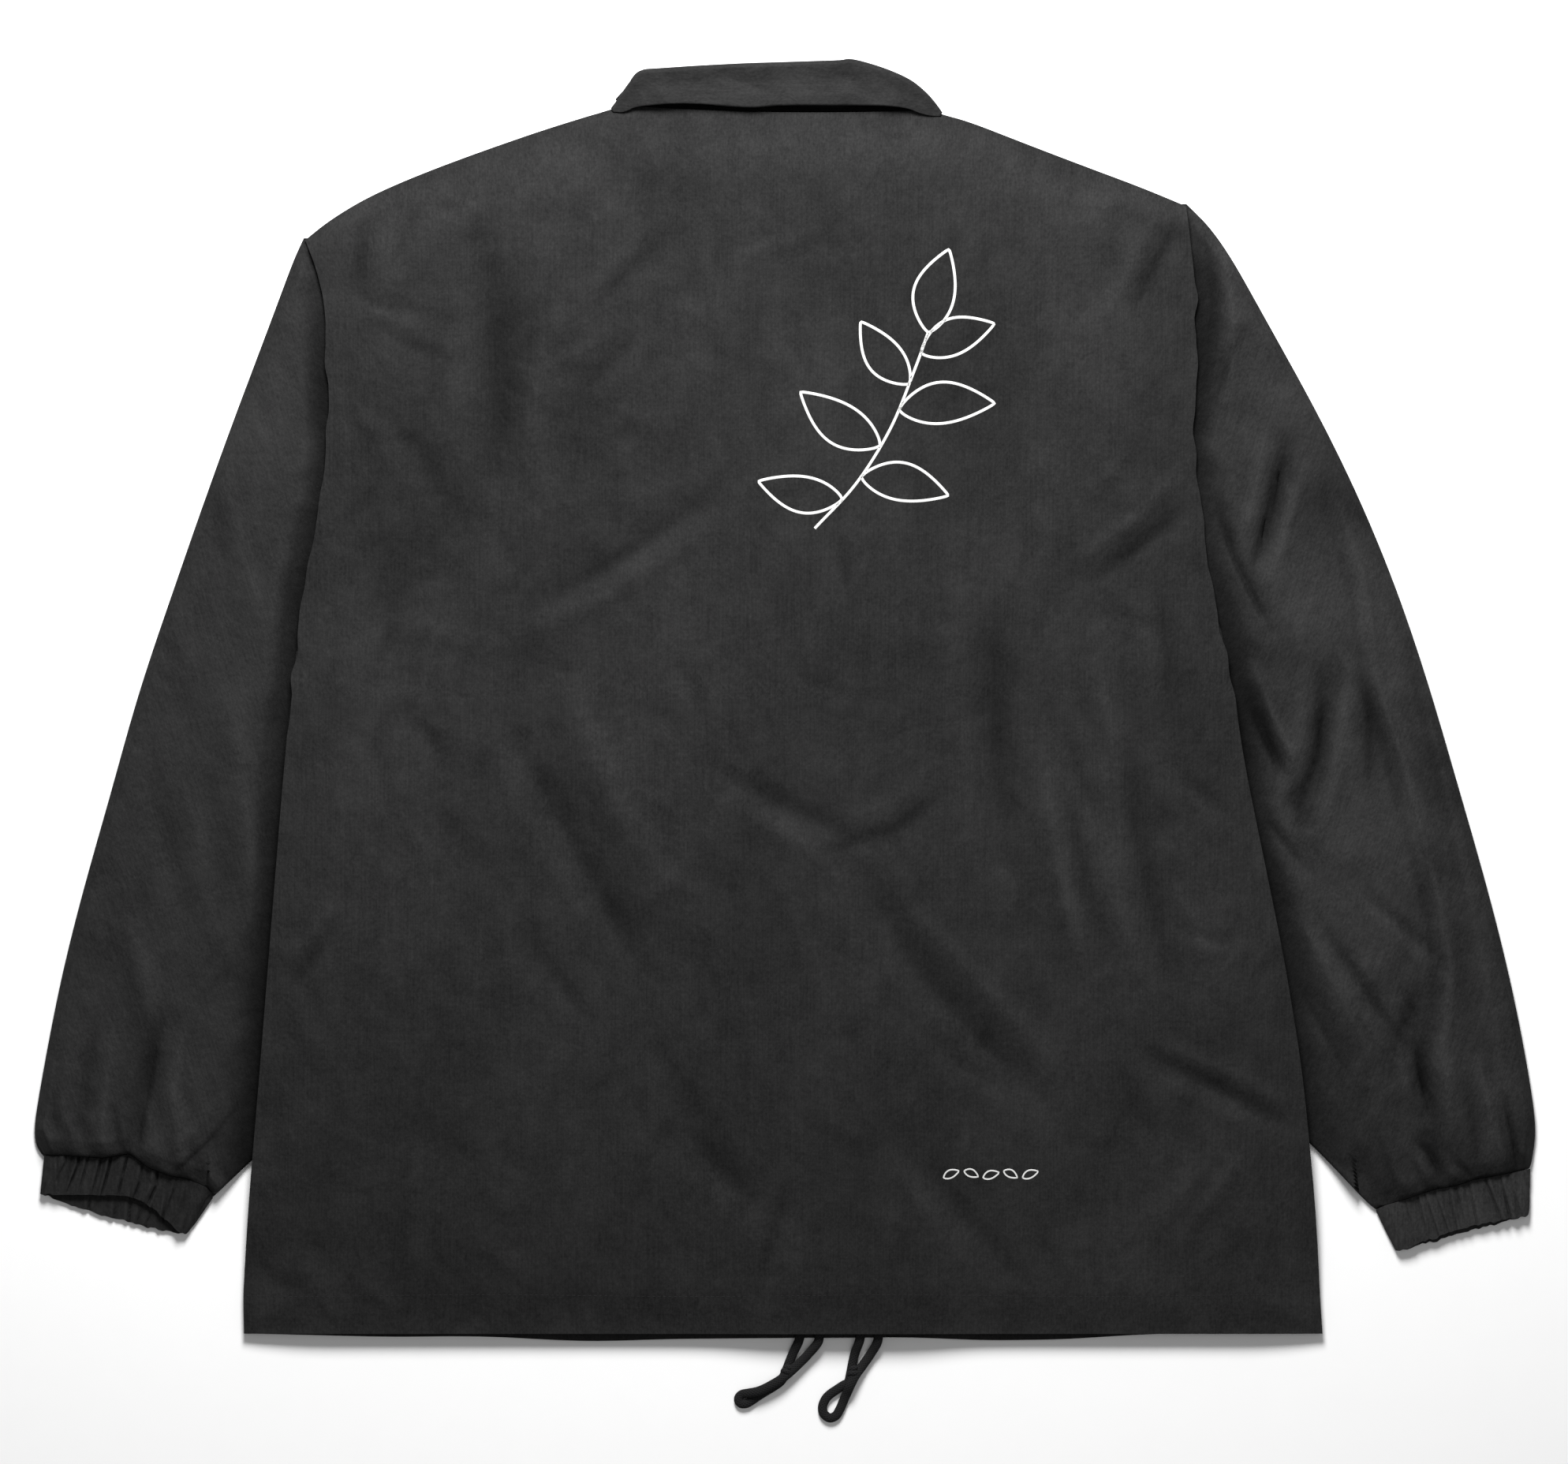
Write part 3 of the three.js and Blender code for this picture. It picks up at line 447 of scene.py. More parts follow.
def makeCord(side):
    part = drawcords[side]
    centres, length = throughPoints(part["points"], drawcords["ringStep"])
    half = drawcords["width"] / 2, drawcords["height"] / 2
    cord = addObject(part["name"], tubeMesh(part["name"], centres, drawcords["ringSides"], *half, cordYarn))
    knot = addObject(part["knotName"], knotMesh(part["knotName"], part["knot"], knotLook, cordYarn))
    seat(cord, "cord_fabric", *part["nodes"])
    seat(knot, "cord_fabric", part["knotNode"])
    print(f"{part['name']}: {length:.1f} mm")


makeCord("left")
makeCord("right")
print("cords laid")

# Side edges of the body as (height along the body, side), and the two long edges of each sleeve
bodySides = {
    "left": [
        (-369, -315.6), (-346, -316), (-300, -313.3), (-220, -306.4), (-138, -299.9), (-35, -291.6),
        (63.5, -281.5), (96, -275.5), (137, -267.3), (178, -266.8), (224, -268.6), (247, -271), (268.2, -280),
    ],
    "right": [
        (-369, 312.9), (-346, 311.4), (-300, 309.1), (-215, 300.8), (-151, 290.3), (-87, 277.4), (-45, 268.6),
        (19, 258.1), (61, 249.8), (104, 243.3), (146, 237.5), (189, 239.6), (231, 240), (288, 233.5),
    ],
}
sleeveEdges = {
    "left": {
        "outer": [
            (-280, 268), (-299, 224), (-320, 169), (-340, 114), (-359, 59), (-378, 4), (-393, -52),
            (-409, -107), (-423, -162), (-433, -217), (-438, -250), (-432.5, -266),
        ],
        "inner": [
            (-285, 38), (-289.6, -1), (-256, -58), (-243, -100), (-241, -128), (-243, -166), (-253, -202),
            (-275, -236), (-298, -256), (-333.5, -290),
        ],
    },
    "right": {
        "outer": [
            (233.5, 288), (261, 257), (279, 224), (310, 169), (337, 114), (359, 59), (377, 4), (393, -52),
            (409, -107), (425, -170), (438, -243), (434.4, -272.6),
        ],
        "inner": [
            (252.6, 52), (263.6, -6), (240, -50), (226, -100), (225, -148), (232, -183), (248, -214),
            (288, -241), (316, -268.5), (343.8, -297.3),
        ],
    },
}


def ease(v):
    t = np.clip(v, 0, 1)
    return t * t * (3 - 2 * t)


# Reads a table of (place, value) at the given places
def onLine(line, places):
    rows = np.array(sorted(line))
    return np.interp(places, rows[:, 0], rows[:, 1])


# How far a point is in from a side edge of the body, and from the nearer one
def insideBody(side, x, y):
    edge = onLine(bodySides[side], y)
    return x - edge if side == "left" else edge - x


def insideBoth(x, y):
    return np.minimum(insideBody("left", x, y), insideBody("right", x, y))


# 0 on the wall that lies on the floor, 1 on the wall above it
def upperShare(z):
    return np.clip((z - 1.5) / 0.5, 0, 1)


# Distance to a line, the side it is on, and how far along it
def nearLine(line, x, y):
    line = np.array(line, dtype=float)
    spans = np.linalg.norm(np.diff(line, axis=0), axis=1)
    start = np.concatenate([[0], np.cumsum(spans)])
    best = np.full(x.shape, 1e9)
    side = np.zeros(x.shape)
    along = np.zeros(x.shape)
    for i, span in enumerate(spans):
        dx, dy = (line[i + 1] - line[i]) / span
        px, py = x - line[i, 0], y - line[i, 1]
        t = np.clip(px * dx + py * dy, 0, span)
        away = np.hypot(px - dx * t, py - dy * t)
        closer = away < best
        best = np.where(closer, away, best)
        side = np.where(closer, np.sign(dx * py - dy * px), side)
        along = np.where(closer, (start[i] + t) / start[-1], along)
    return best, side, along


# Smooth seeded unevenness between -1 and 1, from a square lattice that repeats
def softNoise(x, y, cell, seed):
    cells = 96
    lattice = np.random.default_rng(seed).uniform(-1, 1, (cells, cells))
    gx, gy = x / cell + 40.37, y / cell + 38.91
    ix, iy = np.floor(gx).astype(int), np.floor(gy).astype(int)
    ux, uy = ease(gx - ix), ease(gy - iy)
    at = lambda i, j: lattice[j % cells, i % cells]
    low = at(ix, iy) * (1 - ux) + at(ix + 1, iy) * ux
    high = at(ix, iy + 1) * (1 - ux) + at(ix + 1, iy + 1) * ux
    return low * (1 - uy) + high * uy


# Layers of (cell, height, turn in degrees, stretch)
def crumple(x, y, layers, seed):
    total = np.zeros(x.shape)
    for i, (cell, height, turn, stretch) in enumerate(layers):
        c, s = math.cos(math.radians(turn)), math.sin(math.radians(turn))
        total += height * softNoise(x * c + y * s, (y * c - x * s) / stretch, cell, seed + 7 * i)
    return total


# Height of the folds. A crease is x and y of each point, then width, height and lean
def creased(x, y, creases, crest=2.0):
    total = np.zeros(x.shape)
    for *line, wide, high, lean in creases:
        p = np.array(line).reshape(-1, 2)
        reach = wide * 3.2
        close = ((x > p[:, 0].min() - reach) & (x < p[:, 0].max() + reach)
                 & (y > p[:, 1].min() - reach) & (y < p[:, 1].max() + reach))
        if not close.any():
            continue
        away, side, along = nearLine(p, x[close], y[close])
        width = 0.82 * wide * (1 + 1.5 * lean * side)
        taper = 0.12 + 0.88 * np.sin(math.pi * np.clip(along, 0.03, 0.97)) ** 0.6
        middle = np.exp(-2 * (away / width) ** crest)
        bank = 0.4 * np.exp(-2 * ((away - 1.5 * wide) / (0.8 * wide)) ** 2) * (side * lean < 0)
        total[close] += high * taper * (middle - bank)
    return total


# Seeded short creases that follow the way the cloth hangs
def smallCreases(count, box, lean, seed, longest=62, tall=0.55):
    rng = np.random.default_rng(seed)
    rows = []
    for _ in range(count):
        x, y = rng.uniform(box[0], box[1]), rng.uniform(box[2], box[3])
        angle = math.radians(rng.normal(lean(x, y), 30))
        length = rng.uniform(16, longest)
        bend = rng.normal(0, 0.12) * length
        ex, ey = math.cos(angle), math.sin(angle)
        line = (x - ex * length / 2, y - ey * length / 2, x - ey * bend, y + ex * bend,
                x + ex * length / 2, y + ey * length / 2)
        wide = rng.uniform(4, 8.5)
        high = rng.choice([-1, -1, 1]) * rng.uniform(0.18, tall)
        rows.append((*line, wide, high, rng.uniform(-0.4, 0.4)))
    return rows


# Back: puffed between its seams, with the folds of a jacket that was laid out by hand
backLook = {
    "puff": 2.6,
    "puffEdge": 42,
    "lift": 3.0,  # how far it rises where it lies over the armholes
    "crumple": [(95, 0.55, 20, 1.6), (44, 0.4, -28, 1.8), (21, 0.22, -20, 1.7), (11, 0.13, 10, 1.4)],
    "small": 260,
    "box": (-300, 295, -340, 330),
    "depth": 0.95,
    "shade": 1.5,
    "hemLine": -369,
    "hemPress": 0.22,
    "lowest": -0.35,
    "neckRise": 1.4,
    "wave": 1.7,
    "waveSeeds": {"left": 61, "right": 64},
    "creases": [
        (-172, 264, -168, 200, -166, 134, 15, -1.7, 0.2), (-140, 268, -143, 196, -150, 140, 11, 0.9, 0.1),
        (-77, 265, -92, 250, -109, 232, 6, -1.0, 0.3), (-88, 208, -101, 196, -115, 178, 7, -1.0, -0.3),
        (-208, 294, -219, 276, -226, 252, 7, -1.0, 0.2), (-246, 277, -249, 255, -254, 232, 8, -1.3, 0.2),
        (-253, 236, -232, 228, -210, 224, 4.5, -1.0, 0.3),
        (-235, 219, -214, 205, -190, 199, 5, -0.8, -0.3), (-136, 58, -92, 84, -42, 117, 8.5, -1.5, 0.3),
        (-150, 44, -110, 58, -62, 92, 8, 0.5, 0.1), (-128, 92, -86, 118, -52, 128, 8, 0.35, 0.1),
        (-244, 173, -214, 145, -189, 105, 9, -1.3, 0.3), (-252, 140, -228, 108, -205, 60, 9, 0.3, 0.1),
        (-162, -14, -128, -74, -102, -122, -84, -156, 10.5, -1.9, 0.3),
        (-128, 6, -96, -60, -62, -120, 14, 1.3, 0.1), (-147, -140, -132, -164, -111, -190, 9, -1.4, 0.2),
        (-219, -8, -209, -20, -200, -37, 7, -1.4, 0.3), (-240, 104, -228, 50, -222, -4, 26, -0.9, 0.2),
        (-214, -60, -190, -80, -170, -112, 9, -0.9, 0.3),
        (-289, -170, -280, -158, -265, -138, 6, -1.2, 0.3),
        (-290, -150, -276, -136, -262, -118, 6, 0.7, 0.1),
        (-56, -248, -40, -272, -12, -297, 12, -1.6, 0.3),
        (-80, -196, -64, -226, -50, -244, 10, -0.9, 0.3), (-38, -42, -4, -60, 38, -81, 9, -1.5, 0.3),
        (-30, -60, 4, -82, 44, -108, 10, 0.8, 0.1), (38, -81, 64, -75, 90, -54, 9, -1.5, -0.3),
        (56, -128, 80, -160, 116, -200, 156, -238, 9.5, -1.6, 0.3),
        (14, -78, 44, -104, 74, -142, 13, -0.7, 0.2), (70, -116, 110, -160, 160, -214, 9, 1.2, 0.1),
        (86, -196, 104, -214, 124, -226, 6, -1.1, 0.3),
        (121, 46, 124, -10, 128, -60, 140, -124, 14, -1.5, 0.2),
        (151, -46, 160, -100, 174, -154, 7, 1.6, 0.1), (164, -60, 176, -112, 188, -150, 6, -1.3, -0.2),
        (176, -66, 190, -110, 205, -155, 6.5, 1.2, 0.1), (197, -30, 208, -92, 223, -160, 9, -1.7, 0.2),
        (180, 20, 190, -16, 196, -52, 8, 1.0, 0.1), (230, -46, 248, -58, 274, -79, 4.5, -1.1, 0.3),
        (232, -134, 246, -139, 260, -142, 4.5, -1.0, 0.3), (226, -110, 236, -126, 244, -146, 6, 0.9, 0.1),
        (214, -208, 250, -226, 297, -250, 6.5, -1.7, 0.3), (214, -198, 252, -214, 300, -238, 8, 0.9, 0.1),
        (228, -313, 246, -292, 266, -263, 8, 1.1, 0.1), (216, -318, 232, -300, 250, -272, 7, -0.9, -0.2),
        (230, 280, 218, 258, 203, 228, 8, -1.4, 0.3), (206, 270, 196, 240, 178, 214, 8, 0.8, 0.1),
        (170, 81, 204, 106, 237, 137, 8, 1.3, 0.1), (182, 70, 206, 88, 238, 112, 7, -1.1, 0.2),
        (216, 60, 224, 20, 226, -10, 9, -0.9, 0.2), (31, 98, 34, 76, 40, 52, 6, -1.0, 0.3),
        (-17, -351, -8, -318, 2, -282, 5, -1.1, 0.3), (-2, -350, 8, -318, 14, -290, 6, 0.6, 0.1),
        (85, -270, 108, -306, 137, -338, 9, -1.5, 0.3), (60, -262, 84, -300, 100, -330, 8, 0.7, 0.1),
        (42, 340, 46, 334, 49, 326, 3.5, -0.8, 0.3), (-60, 20, -46, -10, -40, -40, 7, -0.6, 0.2),
        (0, 20, 30, 4, 54, -2, 6, -0.6, 0.2), (-230, -240, -190, -262, -150, -270, 12, -0.6, 0.2),
        (-120, 330, -80, 300, -30, 290, 14, -0.5, 0.2),
    ],
}


shoulderLine = [
    (-280, 268), (-269.6, 277.4), (-247.9, 291.2), (-217.6, 305), (-180.3, 318.8), (-140.3, 332.6),
    (-98.4, 345.5), (87.4, 342.7), (101.2, 339.5), (136.2, 325.7), (172.5, 311.9), (210.2, 298),
    (233.5, 288),
]


def hangAngle(x, y):
    return -64 + 10 * math.sin(x / 70) if y < 20 else -50 + 100 * math.sin(x / 83 + y / 61)


# How far a point is below the shoulder and neck line
def shoulderDrop(x, y):
    return onLine(shoulderLine, x) - y


def backRelief(points, look=backLook):
    x, y = points[:, 0], points[:, 1]
    sides = insideBoth(x, y)
    top = shoulderDrop(x, y)
    hem = y - look["hemLine"]
    edge = np.minimum(np.minimum(sides, top), hem * 1.4)
    lift = look["lift"] * (1 - ease((sides - 30) / 40)) * ease((top + 1) / 12) * ease((hem - 40) / 120)
    inner = 0.25 + 0.75 * ease(edge / 22)
    folds = look["depth"] * creased(x, y, look["creases"])
    folds += creased(x, y, smallCreases(look["small"], look["box"], hangAngle, 11))
    folds += crumple(x, y, look["crumple"], 3)
    height = look["puff"] * ease(edge / look["puffEdge"]) + lift + folds * inner * ease((hem + 12) / 40)
    height -= look["hemPress"] * ease((25 - hem) / 6)
    # The second value paints shade in the fold troughs and highlight on the ridges
    return np.maximum(height, look["lowest"]), look["shade"] * folds * inner


# The neck edge drawn up towards the collar, and small waves in the edges beside the armholes
def backShift(points, look=backLook):
    x, y, _ = points.T
    rise = look["neckRise"] * ease((y - 326) / 14) * ease((x + 96) / 16) * ease((86 - x) / 16)
    beside = look["wave"] * ease((y + 30) / 40) * (1 - ease((y - 232) / 20))
    move = np.zeros(x.shape)
    for side, seed in look["waveSeeds"].items():
        move += beside * softNoise(0 * x, y, 13, seed) * (1 - ease(insideBody(side, x, y) / 9))
    return np.column_stack([move, rise])


# Sleeves: long soft folds from the armhole, puffs gathered over the cuff
sleeveLook = {
    "puff": 3.0,
    "puffEdge": 24,
    "crumple": [(60, 0.6, 70, 2.0), (30, 0.5, 66, 2.0), (15, 0.25, 60, 1.8), (9, 0.12, 0, 1.3)],
    "small": 70,
    "dark": (5.2, 0.8),  # painted shade of the valley beside the body, close to it and further out
    "cuffPuff": (-205, 60, 1.6),  # where it starts, over what length it grows, height
    "gather": (0.55, 2.35),  # height, pitch
    "tip": (262, 8, 1.2),  # shoulder tip: where it starts, length, how far it is pressed down
    "tuck": (2.0, 0.8),  # how far the edge goes under the body, and how much more at the tip
    "left": {
        "creases": [
            (-272, 222, -271, 180, -271, 138, 6, -1.6, 0.2),
            (-282, 104, -290, 40, -296, -18, 7, -2.0, 0.2),
            (-326, 14, -318, -40, -311, -84, -308, -150, 11, 1.2, 0.1),
            (-302, 8, -300, -66, -292, -140, 10, -1.4, 0.2),
            (-348, 169, -336, 116, -320, 56, 9, -0.9, 0.3), (-330, 150, -318, 90, -300, 30, 9, 0.8, 0.1),
            (-370, -45, -360, -86, -347, -129, 8, -1.5, 0.3),
            (-380, -134, -373, -166, -363, -200, 8, 1.3, 0.1),
            (-363, -186, -368, -206, -379, -266, 9, -3.2, -0.35),
            (-352, -200, -356, -232, -352, -264, 8, 1.7, 0.1),
            (-356, -212, -350, -232, -340, -254, 5, -1.2, 0.3),
            (-339, -146, -332, -156, -322, -166, 6, -1.2, 0.3),
            (-318, -236, -336, -258, -356, -276, 7, -1.4, 0.3),
            (-403, -185, -408, -220, -413, -258, 7, -1.5, 0.3),
            (-392, -190, -396, -224, -398, -262, 7, 1.2, 0.1),
            (-394, -231, -391, -248, -388, -264, 4.5, -1.2, 0.3),
            (-424, -204, -427, -236, -426, -262, 5, -0.9, 0.3),
            (-344, -60, -336, -110, -330, -136, 8, 0.8, 0.1),
            (-286, -170, -300, -206, -318, -232, 10, 1.2, 0.1),
            (-360, 20, -350, -10, -346, -40, 7, -0.7, 0.3),
        ],
        "box": (-436, -245, -280, 250),
        "depth": 0.95,
        "shade": 1.2,
        "crest": 1.6,  # 2 is round, lower is sharper
        "fine": 0.4,
        "valley": [
            (-300, 0.3), (-280, 1.0), (-200, 1.0), (-80, 0.9), (0, 0.75), (60, 0.95), (130, 0.85),
            (170, 1.0), (215, 0.75), (250, 0.45), (275, 0.2),
        ],
        "wide": [
            (-290, 15), (-200, 13), (-60, 10), (20, 7), (80, 8), (140, 9), (180, 12), (230, 9), (270, 6),
        ],
        "angle": 74,
        "grain": -16,
        "dye": 1.0,
        "seeds": (21, 51, 151),  # small creases, crumple, lower side
        "armhole": -16,
    },
    "right": {
        "creases": [
            (243, 276, 249, 232, 240, 146, 6, -1.9, 0.2), (256, 262, 262, 220, 258, 176, 7, 1.2, 0.1),
            (264, 212, 257, 194, 250, 174, 5, -1.2, 0.3), (291, 152, 283, 116, 272, 76, 7, -2.0, 0.3),
            (303, 140, 292, 100, 284, 70, 7, 1.2, 0.1), (249, 116, 262, 80, 281, 42, 6.5, -2.0, 0.3),
            (258, 22, 270, -4, 288, -40, 6.5, -2.8, 0.3), (272, 20, 284, -10, 300, -44, 6, 1.4, 0.1),
            (313, 10, 310, -26, 298, -66, 7, -2.0, 0.3), (326, 6, 322, -40, 312, -80, 7, 1.4, 0.1),
            (272, -63, 284, -76, 300, -95, 6, -1.6, 0.3),
            (322, 115, 336, 73, 340, 50, 345, 8, 361, -40, 370, -76,
             382, -123, 388, -159, 384, -188, 373, -234, 5.5, 1.8, 0.2),
            (340, 92, 362, 30, 376, -24, 390, -90, 402, -150, 8, -0.7, 0.2),
            (373, 0, 398, -110, 414, -190, 425, -256, 8, 0.6, 0.1),
            (339, 10, 340, -20, 339, -50, 7, -1.4, 0.3),
            (335, -112, 358, -130, 384, -153, 4.5, -1.2, 0.3),
            (313, -133, 334, -164, 358, -200, 6, -1.4, 0.3),
            (300, -128, 318, -164, 340, -206, 7, 1.1, 0.1),
            (369, -168, 362, -184, 354, -202, 6, -1.6, 0.3),
            (367, -201, 370, -220, 375, -240, 6, -2.0, 0.3),
            (384, -200, 386, -226, 388, -252, 7, 1.4, 0.1),
            (368, -258, 375, -264, 383, -280, 5, -1.5, 0.3),
            (389, -268, 396, -274, 402, -282, 4, -1.2, 0.3),
            (418, -230, 423, -252, 427, -276, 5, -1.5, 0.3),
            (404, -210, 410, -240, 412, -270, 6, 1.2, 0.1),
            (262, -150, 286, -190, 316, -230, 9, 1.1, 0.1),
            (276, -130, 300, -170, 330, -222, 7, -1.2, 0.3),
        ],
        "box": (228, 436, -290, 260),
        "depth": 1.55,
        "shade": 1.7,
        "crest": 1.35,
        "fine": 1.1,
        "valley": [
            (-310, 0.2), (-270, 0.6), (-180, 0.7), (-110, 1.0), (-60, 0.8), (-25, 1.0), (15, 1.0),
            (60, 0.85), (105, 0.6), (150, 1.0), (200, 0.95), (250, 0.9), (268, 0.6), (285, 0.2),
        ],
        "wide": [
            (-300, 12), (-200, 14), (-110, 12), (-60, 8), (-30, 14), (40, 16), (100, 13), (150, 9),
            (200, 13), (250, 12), (285, 6),
        ],
        "angle": 106,
        "grain": 17,
        "dye": 1.13,
        "seeds": (33, 71, 171),  # small creases, crumple, lower side
        "armhole": -28,
    },
}

seamLines = {  # straight seam of the solid, and the uneven line that the puffs really follow
    "left": {
        "straight": [(-432.5, -266.2), (-333.5, -290)],
        "drawn": [
            (-436, -263.5), (-430.8, -265), (-417.3, -265.1), (-397.9, -266.5), (-382.4, -264),
            (-376.6, -268), (-370.8, -272.3), (-359.2, -276.7), (-348.5, -278.6), (-338, -283),
            (-331, -290),
        ],
    },
    "right": {
        "straight": [(434.4, -272.6), (343.8, -297.3)],
        "drawn": [
            (436, -272.4), (432.6, -273), (411.4, -277.2), (400.9, -279.1), (390.3, -282.7),
            (381.5, -284), (371, -287), (362.2, -290.1), (350, -293.6), (341.9, -297.5),
        ],
    },
}


def seamSlip(side, x):
    lines = seamLines[side]
    return onLine(lines["drawn"], x) - onLine(lines["straight"], x)


def sleeveShift(side):
    out = -1 if side == "left" else 1
    tipFrom, tipLong, _ = sleeveLook["tip"]
    tuck, more = sleeveLook["tuck"]

    def shift(points):
        x, y, z = points.T
        upper = upperShare(z)
        above = y - onLine(seamLines[side]["straight"], x)
        outside = -insideBody(side, x, y)
        armhole = ease((y - sleeveLook[side]["armhole"]) / 10)
        under = (tuck + more * ease((y - tipFrom) / tipLong)) * upper * armhole
        return np.column_stack([
            -out * under * (1 - ease((outside - 0.5) / 8)),
            upper * seamSlip(side, x) * (1 - ease(above / 34)),
        ])
    return shift


def sleeveRelief(side):
    look, own = sleeveLook, sleeveLook[side]
    near, far = look["dark"]
    puffFrom, puffLong, puffHigh = look["cuffPuff"]
    gatherHigh, gatherPitch = look["gather"]
    tipFrom, tipLong, tipPress = look["tip"]

    def relief(points):
        x, y = points[:, 0], points[:, 1]
        outer, _, _ = nearLine(sleeveEdges[side]["outer"], x, y)
        inner, _, _ = nearLine(sleeveEdges[side]["inner"], x, y)
        outside = -insideBody(side, x, y)
        wide = onLine(own["wide"], y) * (1 + 0.3 * softNoise(x * 0, y, 13, 8))
        clear = ease((outside - 2) / (wide * 1.2 + 3))
        edge = np.minimum(outer * 4, np.where(outside > 25, inner, 99))
        share = ease(edge / look["puffEdge"])
        small = smallCreases(look["small"], own["box"], lambda a, b: own["angle"], own["seeds"][0], 50, 0.6)
        fine = creased(x, y, small) + crumple(x, y, look["crumple"], own["seeds"][1])
        folds = own["depth"] * creased(x, y, own["creases"], own["crest"]) + own["fine"] * fine
        towardsCuff = ease((puffFrom - y) / puffLong)
        waves = np.sin((x * 0.96 + y * 0.27) / gatherPitch + 1.4 * softNoise(x, y, 16, 5))
        gather = towardsCuff * gatherHigh * waves
        height = clear * (look["puff"] * share + (folds + gather) * (0.35 + 0.65 * share))
        height += clear * towardsCuff * puffHigh * share
        fromSeam = np.maximum(y - onLine(seamLines[side]["drawn"], x), 0)
        height *= 0.1 + 0.9 * np.sqrt(np.clip(fromSeam / 9, 0, 1))
        valley = near * np.exp(-(np.maximum(outside, 0) / wide) ** 2) + far * (1 - ease(outside / 34))
        valley *= onLine(own["valley"], y)
        tip = ease((y - tipFrom) / tipLong) * (1 - ease((outside - 1) / 4))
        height = np.maximum(height, -0.5 * clear) - tipPress * tip
        # The second value paints shade in the troughs and in the valley beside the body, and highlight on the
        # ridges and away from the body
        return height, own["shade"] * folds * clear + 0.6 * clear - valley * ease((fromSeam - 4) / 16)
    return relief


# The side that lies on the floor: only pressed upwards
def lowerRelief(seed, count, box):
    def relief(points):
        x, y = points[:, 0], points[:, 1]
        small = smallCreases(count, box, lambda a, b: 70 + 30 * math.sin(a / 50), seed, 110, 0.9)
        folds = creased(x, y, small)
        folds += crumple(x, y, [(70, 0.6, 30, 1.6), (30, 0.4, 60, 1.6), (12, 0.16, 0, 1.4)], seed + 1)
        # The second value paints shade and highlight following the folds
        return np.clip(folds * 0.9 + 0.35, 0, 2.2), folds
    return relief


# Copy of a solid's mesh with its squares put back, rims kept sharp and the rest rounded
def smoothShell(node, levels, sharpAngle):
    def square(bm):
        bmesh.ops.remove_doubles(bm, verts=bm.verts, dist=1e-5)
        bmesh.ops.join_triangles(
            bm, faces=bm.faces, angle_face_threshold=math.pi, angle_shape_threshold=math.pi,
        )
        layer = bm.edges.layers.float.get("crease_edge") or bm.edges.layers.float.new("crease_edge")
        for edge in bm.edges:
            if len(edge.link_faces) == 2 and edge.calc_face_angle(0) > math.radians(sharpAngle):
                edge[layer] = 1.0
        for face in bm.faces:
            face.smooth = True

    mesh = edited(bpy.data.objects[node].data.copy(), square)
    mesh.materials.clear()
    item = addObject("shaping", mesh)
    finish = item.modifiers.new("rounding", "SUBSURF")
    finish.levels = levels
    finish.render_levels = levels
    shaped = evaluated(item)
    bpy.data.objects.remove(item)
    return shaped


# Cut edges stay crisp while the wall shades smoothly
def sharpenRims(bm):
    for edge in bm.edges:
        if len(edge.link_faces) == 2 and edge.calc_face_angle(0) > math.radians(50):
            edge.smooth = False


# A cloth piece over its solid: upper wall and lower wall each get their own folds
def dress(name, node, material, levels, sharpAngle, upper, lower=None, shift=None):
    mesh = smoothShell(node, levels, sharpAngle)
    points = readPoints(mesh) / mm
    if shift is not None:
        points[:, :2] += shift(points)
    rise, wear = upper(points)
    if lower is not None:
        share = upperShare(points[:, 2])
        riseLow, wearLow = lower(points)
        rise = rise * share + riseLow * (1 - share) * 0.4
        wear = wear * share + wearLow * (1 - share)
    points[:, 2] += rise
    writePoints(mesh, points * mm)
    # Painted shade and highlight of the folds, kept on the points for the cloth material
    paintedShadingLayer = mesh.attributes.new("wear", "FLOAT", "POINT")
    wear = np.clip(wear * clothLook["wearScale"], *clothLook["wearLimits"])
    paintedShadingLayer.data.foreach_set("value", wear.astype(np.float32))
    mesh.name = name
    mesh.materials.append(material)
    mesh.polygons.foreach_set("use_smooth", [True] * len(mesh.polygons))
    edited(mesh, sharpenRims)
    item = addObject(name, mesh)
    seat(item, "shell_fabric", node)
    return item


shellCloth = clothMaterial("shellCloth", clothLook)


backPanel = dress(
    "backPanel", "back_panel", shellCloth, 3, 50, backRelief, shift=backShift,
)

frontLook = {
    "small": 60,
    "left": {"box": (-300, 30, -350, 260), "seed": 101},
    "right": {"box": (20, 300, -350, 260), "seed": 131},
}


# The closure slants a little from the neck to the hem
def closureAt(y):
    return 33 * (270 - y) / 640


def frontRelief(side):
    own = frontLook[side]
    pressed = lowerRelief(own["seed"], frontLook["small"], own["box"])

    def relief(points):
        x, y = points[:, 0], points[:, 1]
        rise, wear = pressed(points)
        closure = np.abs(x - closureAt(y))
        keep = ease(insideBoth(x, y) / 22) * ease((y + 366) / 26) * ease((closure - 8) / 24)
        keep *= ease((shoulderDrop(x, y) - 2) / 24)
        return rise * keep, wear * keep
    return relief


frontLeft = dress(
    "frontLeft", "front_left", shellCloth, 3, 50, frontRelief("left"),
)
frontRight = dress(
    "frontRight", "front_right", shellCloth, 3, 50, frontRelief("right"),
)


def makeSleeve(side, name, node):
    own = sleeveLook[side]
    cloth = clothMaterial(side + "SleeveCloth", clothLook, math.radians(own["grain"]), own["dye"])
    below = lowerRelief(own["seeds"][2], 40, own["box"])
    dress(name, node, cloth, 3, 75, sleeveRelief(side), below, sleeveShift(side))


makeSleeve("left", "sleeveLeft", "sleeve_left")
makeSleeve("right", "sleeveRight", "sleeve_right")

